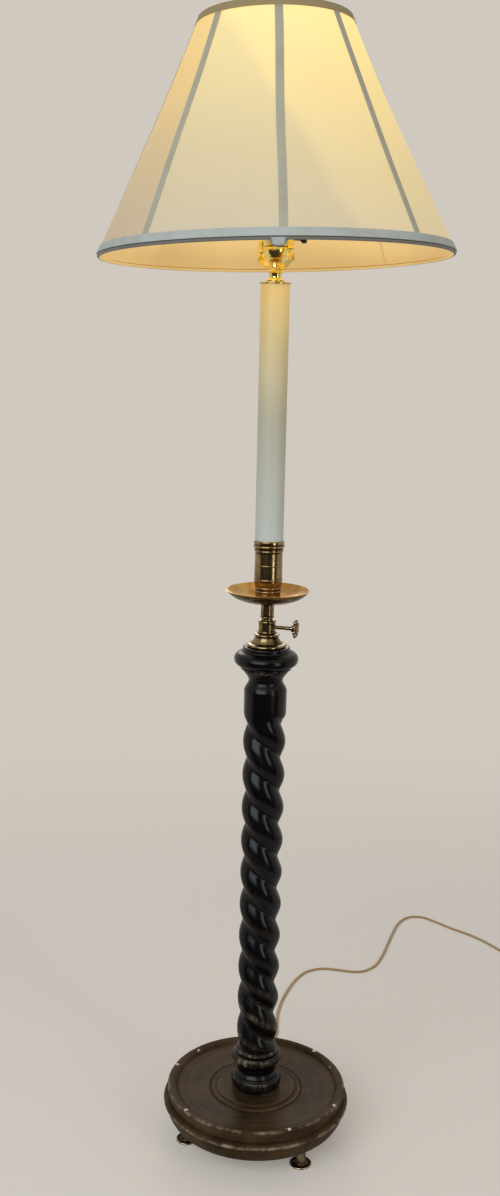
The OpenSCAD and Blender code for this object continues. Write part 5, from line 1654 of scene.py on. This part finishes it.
@dataclass
class Socket:
    """The flared nut, saddle, brass socket with its switch, the lit bulb, and the harp."""

    shell_r: float = 16.6
    cap_h: float = 25.3
    bore: float = 4.92
    bulb_r: float = 30.0
    glass_h: float = 94.0
    base_h: float = 22.0
    thread_r: float = 13.0
    harp_azimuth: float = -51.0
    leg: float = 28.7
    wide: float = 60.0
    harp_h: float = 290.0
    wire_r: float = 2.4

    def nut(self) -> None:
        """The nut flares upwards to a rim."""
        line = outline([(self.bore, 0), (7.4, 0), (8, 0.8), (8, 2.6), (9, 6.8), (10.4, 8.6), (10.7, 9.6),
                        (10.1, 10.6), (8.9, 10.9), (8.9, 12), (self.bore, 12)])
        lathe("fine_flared_nut", "flared_nut", BRIGHT, line, up(Z.coupling), 0.3, 1.5, 96, width=0.7)

    def cap(self) -> None:
        """The socket's cap: neck, shoulder and a rolled skirt, hollow above."""
        r, h, fit = self.shell_r + 0.9, self.cap_h, self.shell_r + 0.1
        line = outline([(self.bore, 0), (7.4, 0), (7.8, 0.6), (7.8, 8), (9, 9.6), (13.6, 11.6), (r - 1.4, 16),
                        (r - 0.2, 19.6), (r, h - 3), (r, h), (fit, h), (fit, h - 3), (r - 1.2, 20),
                        (r - 2.4, 17), (13, 12.8), (8.4, 10.8), (6.6, 9.4), (6.6, 3), (self.bore, 3)])
        lathe("fine_socket_cap", "socket_cap", BRIGHT, line, up(Z.socket), 0.7, 1.5, 112, width=0.9)

    def bulb(self) -> None:
        """The glass follows shares of its radius and height; the base's thread is a cosine that climbs
        one pitch each turn."""
        shares = np.array([(0.0, 0.0), (0.4, 0.0), (0.44, 0.1), (0.55, 0.24), (0.77, 0.4), (0.93, 0.52),
                           (1, 0.66), (0.96, 0.79), (0.8, 0.91), (0.5, 0.98), (0.2, 1), (0.0, 1.0)])
        size = [self.bulb_r, self.glass_h]
        line = np.clip(smooth_path(shares, 5) * size, 0, size)
        lathe("fine_bulb", "bulb_glass", OPAL, line, up(Z.bulb + self.base_h + 0.02), 0.2, 4.0, 96,
              closed=False, finish_line=False)
        rise = np.linspace(4, self.base_h, 60)[:, None]
        a = np.linspace(0, 2 * np.pi, 96, endpoint=False)[None]
        fade = ease((rise - 4) / 2) * ease((21 - rise) / 1.5)
        radius = self.thread_r - 0.45 * fade * (1 - np.cos(2 * np.pi * rise / 3.4 - a))
        side = np.stack([radius * np.cos(a), radius * np.sin(a), rise + 0 * a], -1)
        low = spun(np.array([(0, 0.01), (3.6, 0.01), (4.6, 1.2), (8, 2.2), (12.8, 3.8)]), 96)
        top = spun(np.array([(12.6, self.base_h), (0, self.base_h)]), 96)
        Shape(up(Z.bulb)).grid(np.concatenate([low, side, top])).build(
            "fine_bulb_base", [STEEL], ["bulb_base"])

    def harp(self) -> None:
        """The wire climbs from a ferrule, widens by a cosine to its widest, and closes by a quarter
        ellipse."""
        low, knee = Z.saddle + 27.0, Z.saddle + 39.5
        wide, top = Z.saddle + self.harp_h * 0.56, Z.hub - 3 - self.wire_r
        i = np.arange(8)
        rise = np.stack([self.leg + (self.wide - self.leg) * (1 - np.cos(np.pi * i / 8)) / 2,
                         knee + (wide - knee) * i / 8], -1)
        j = np.radians(10.0 * np.arange(9))
        over = np.stack([self.wide * np.cos(j), wide + (top - wide) * np.sin(j)], -1)
        half = np.vstack([[(self.leg, low)], rise, over])
        whole = np.vstack([half, [(0, top)], half[::-1] * [-1, 1]])
        fine = smooth_path(np.stack([whole[:, 0], 0 * whole[:, 0], whole[:, 1]], -1), 5)
        fine[:, 2] = np.minimum(fine[:, 2], top)
        place = Z.lean() @ turn("Z", self.harp_azimuth)
        Shape(place).grid(swept(fine, circle(self.wire_r, 20), (0, 1, 0))).build(
            "fine_harp", [BRIGHT], ["harp_wire"], sharp=50)

    def build(self) -> None:
        """Socket, bulb, harp and switch."""
        self.nut()
        self.cap()
        refine(BRIGHT, "socket_shell")
        self.bulb()
        self.harp()
        refine(BRIGHT, "harp_saddle", "harp_ferrules", "harp_stud")
        refine(BLACK, "switch_knob")
        dress(BRIGHT, "screw_shell", "centre_contact")
        dress(BLACK, "socket_core", "switch_shaft")
        dress(CARD, "socket_liner")


# ---- shade ----


@dataclass
class Shade:
    """The empire shade: eight silk panels over a wire frame, taped ribs, and a banded top and bottom."""

    height: float = 282.0
    bottom_r: float = 228.5
    top_r: float = 95.8
    bow: float = 2.0
    cloth_t: float = 0.8
    panels: int = 8
    turn_deg: float = 1.2
    hollow: float = 2.2
    pucker: float = 0.22
    tape_w: float = 10.0
    band_t: float = 0.9
    gap: float = 0.3
    bottom_band: float = 9.5
    top_band: float = 8.5
    ring_drop: float = 2.2
    ring_in: float = 1.9
    roll_r: float = 2.5
    wrap_r: float = 1.65
    # how far the roll below the hem is darkened: painted shade
    soil_and_shade: float = 0.74
    tail_w: float = 19.6
    tail_l: float = 11.0

    def side(self, t: Points) -> Points:
        """The side's radius at a share t of its height: a straight cone less bow sin(180 t^1.5)."""
        drawn = self.bow * np.sin(np.pi * np.clip(t, 0, 1) ** 1.5)
        return self.bottom_r * (1 - t) + self.top_r * t - drawn

    def cover(self) -> bpy.types.Object:
        """The cloth: between two ribs it is drawn in by hollow 4p(1-p) sin(180 t)^0.8, where p is the share
        of the panel's width, and it puckers a little beside the ribs. The lining is the same surface, the
        cloth's thickness inside.

        Returns:
            The piece.
        """
        rows, per = 72, 26
        t = np.linspace(0, 1, rows)[:, None]
        p = np.tile(np.arange(per) / per, self.panels)[None]
        a = np.radians(np.arange(self.panels * per) / per * 360 / self.panels - 90 + self.turn_deg)[None]
        draw = self.hollow * 4 * p * (1 - p) * np.sin(np.pi * t) ** 0.8
        pucker = self.pucker * np.sin(np.pi * t) * np.sin(2 * np.pi * t * 23 + 2.1 * a)
        outside = self.side(t) - draw + pucker * np.exp(-np.minimum(p, 1 - p) * 14)
        z = Z.shade + self.height * t + 0 * a
        outer, inner = (np.stack([r * np.cos(a), r * np.sin(a), z], -1)
                        for r in (outside, outside - self.cloth_t))
        inner = inner[::-1]
        shape = Shape(Z.lean()).grid(outer).grid(inner, slot=1)
        for first, second in ((outer, inner), (inner, outer)):
            shape.grid(np.concatenate([first[-1:], second[:1]]), slot=1)
        return shape.build("silk_cover", [SILK, LINING], ["shade_fabric"], sharp=60)

    def tapes(self) -> bpy.types.Object:
        """Each tape follows a rib: a flat strip with a low crown across it, and a little wander.

        Returns:
            The piece.
        """
        low, high = self.bottom_band - 1.0, self.top_band - 1.0
        t = np.linspace(low / self.height, 1 - high / self.height, 56)
        u = np.r_[np.linspace(-1, 1, 11), np.linspace(1, -1, 11)]
        outer = np.r_[np.ones(11), np.zeros(11)]
        half = self.tape_w / 2
        r = self.side(t)[:, None]
        crown = outer * (self.band_t - 0.25 * np.abs(u) ** 3) + (1 - outer) * 0.12
        x = r - 0.5 * (half * u) ** 2 / r + crown
        shape = Shape()
        for k in range(self.panels):
            wander = (0.5 * np.sin(t * 9 + k * 1.9))[:, None]
            grid = np.stack([x, half * u + wander + 0 * x, Z.shade + self.height * t[:, None] + 0 * x], -1)
            caps = np.repeat(grid[[0, -1]].mean(1, keepdims=True), len(u), 1)
            shape.at(Z.lean() @ turn("Z", 360 / self.panels * k - 90 + self.turn_deg))
            shape.grid(np.concatenate([caps[:1], grid, caps[1:]]))
        return shape.build("fine_rib_tapes", [TAPE], ["rib_tapes"], sharp=70)

    def banded(self, line: Points, name: str, node: str, wave: float, finish: Tape) -> bpy.types.Object:
        """A turned band whose radius wanders a little, wave (sin 7a + 0.6 sin 19a + 0.4 sin 41a) / 2. The
        part below the cloth that faces inwards takes the lining's glowing finish, which is painted light, and
        the rest of the roll is darkened as painted shade.

        Args:
            line: the closed outline.
            name: the piece's name.
            node: the CAD node that it replaces.
            wave: how far it wanders.
            finish: the band's finish.
        Returns:
            The band.
        """
        line = dense(rounded(line, 0.5, True), 0.8, True)
        wear, grime = edge_marks(line, 0.6, True)
        hem = Z.shade - 0.2
        # painted shade: the creases, deepened, and the roll below the hem
        grime = np.clip(grime * 3.2 + self.soil_and_shade * (line[:, 1] < hem), 0, 1)
        # painted light: the band's inward face below the cloth takes the lining's glowing finish
        inward = (line[:, 0] < self.bottom_r - self.ring_in - 0.6) & (line[:, 1] < hem)
        a = np.linspace(0, 2 * np.pi, 288, endpoint=False)
        drift = wave * (np.sin(7 * a) + 0.6 * np.sin(19 * a + 1) + 0.4 * np.sin(41 * a + 2)) / 2
        grid = spun(line, 288)
        away = np.linalg.norm(grid[..., :2], axis=-1, keepdims=True)
        grid[..., :2] *= 1 + (drift[None, :, None] - wave) / away
        first = int(np.argmax(inward)) if inward.any() else 0
        order = (np.arange(len(line) + 1) + first) % len(line)
        cut = int(inward.sum())
        shape = Shape(Z.lean())
        for rows, slot in ((order[:cut + 1], 1), (order[cut:], 0)):
            if len(rows) > 1:
                shape.grid(grid[rows], slot=slot, wear=wear[rows, None], grime=grime[rows, None])
        return shape.build(name, [finish, LINING], [node], sharp=60)

    def trims(self) -> list[bpy.types.Object]:
        """The top band turned over the rim, and the bottom band wrapped round the lower ring.

        Returns:
            Both bands.
        """
        t0 = 1 - self.top_band / self.height
        r0, r1 = float(self.side(np.array(t0))) + self.gap, self.top_r + self.gap
        z0, top, b = Z.shade + self.height * t0, Z.shade + self.height, self.band_t
        inside = r1 - self.cloth_t - 3
        upper = outline([(r0, z0), (r0 + b, z0), (r1 + b, top + 0.9), (r1 + b - 0.6, top + 1.5),
                         (inside, top + 1.5), (inside, top + 0.3), (r1, top + 0.3)])
        band = float(self.side(np.array(self.bottom_band / self.height))) + self.gap
        edge, z, ring, wrap = self.bottom_r + self.gap, Z.shade, self.bottom_r - self.ring_in, self.wrap_r
        drop = z - self.ring_drop
        lower = outline([(band, z + self.bottom_band), (edge, z - 0.4), (ring + wrap, drop + 1)],
                        arc(ring, drop, wrap, 0, -200, 14), arc(ring, drop, self.roll_r, -200, 0, 18),
                        [(edge + b - 0.9, z - 0.8), (edge + b, z + 0.2), (band + b, z + self.bottom_band)])
        return [self.banded(upper, "fine_top_trim", "top_trim", 0.15, SHADED_TOP_TRIM),
                self.banded(lower, "fine_bottom_trim", "bottom_trim", 0.2, TRIM)]

    def tail(self) -> bpy.types.Object:
        """The tape's loose end below the hem: a rounded tongue with a slight curl.

        Returns:
            The piece, which replaces no node.
        """
        u = np.linspace(-1, 1, 17)[None]
        v = np.linspace(0, 1, 12)[:, None]
        x = self.tail_w / 2 * u * (1 - 0.35 * v**4) - 0.7
        z = Z.shade - 2.0 - self.tail_l * v * (1 - 0.25 * np.abs(u) ** 3)
        front = -(self.bottom_r + 1.2) + 1.2 * v**2 + 0.3 * u**2
        faces = [np.stack([x, front + back, z], -1) for back in (0.0, 0.7)]
        # painted shade: a fifth of the darkening over the whole tongue, rising to all of it round its edges
        rim = 0.2 + 0.8 * np.clip((np.maximum(np.abs(u), v) - 0.7) / 0.2, 0, 1)
        shape = Shape(Z.lean()).grid(faces[0], wrap_cols=False, grime=rim)
        shape.grid(faces[1], wrap_cols=False)
        for edge in (np.s_[0], np.s_[-1]):
            shape.grid(np.stack([faces[0][edge], faces[1][edge]]), wrap_cols=False)
            shape.grid(np.stack([faces[0][:, edge], faces[1][:, edge]]), wrap_cols=False)
        return shape.build("tape_tail", [TRIM], [], body="shade")

    def finial(self) -> None:
        """A turned finial: flange, waist, ball and tip, on the harp's stud."""
        h, bore, tip = 30.0, 3.15, 0.02
        line = outline([(bore, 0), (6.5, 0), (7, 0.8), (7, 2.6), (5.2, 4), (4.4, 6), (4.8, 8)],
                       arc(0, h - 13.5, 7.4, -50, 62, 14),
                       [(2.4, h - 5.4), (2.6, h - 4), (1.6, h - 1), (tip, h), (tip, 11.4), (bore, 11.4)])
        lathe("fine_finial", "finial", BRIGHT, line, Z.lean() @ up(Z.hub + 1.8), 0.5, 1.5, 96, width=0.7)

    def build(self) -> None:
        """Cloth, tapes, bands, frame and finial."""
        cover = self.cover()
        pieces = [self.tapes(), *self.trims(), self.tail()]
        refine(LINED_WIRE, "shade_top_ring", "shade_bottom_ring", "shade_ribs")
        refine(BRIGHT, "shade_fitter")
        self.finial()


def main() -> None:
    """Builds the scene: the camera and the cord first, then the lamp from its feet up."""
    logging.basicConfig(level=logging.INFO, format="%(name)s %(message)s")
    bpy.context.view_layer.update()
    bpy.context.scene.view_settings.view_transform = "Standard"
    Studio().build()
    for assembly in (Cord(), Base(), Column(), Slide(), Candle(), Socket(), Shade()):
        assembly.build()
        LOG.info("%s built", type(assembly).__name__)


if __name__ == "__main__":
    main()
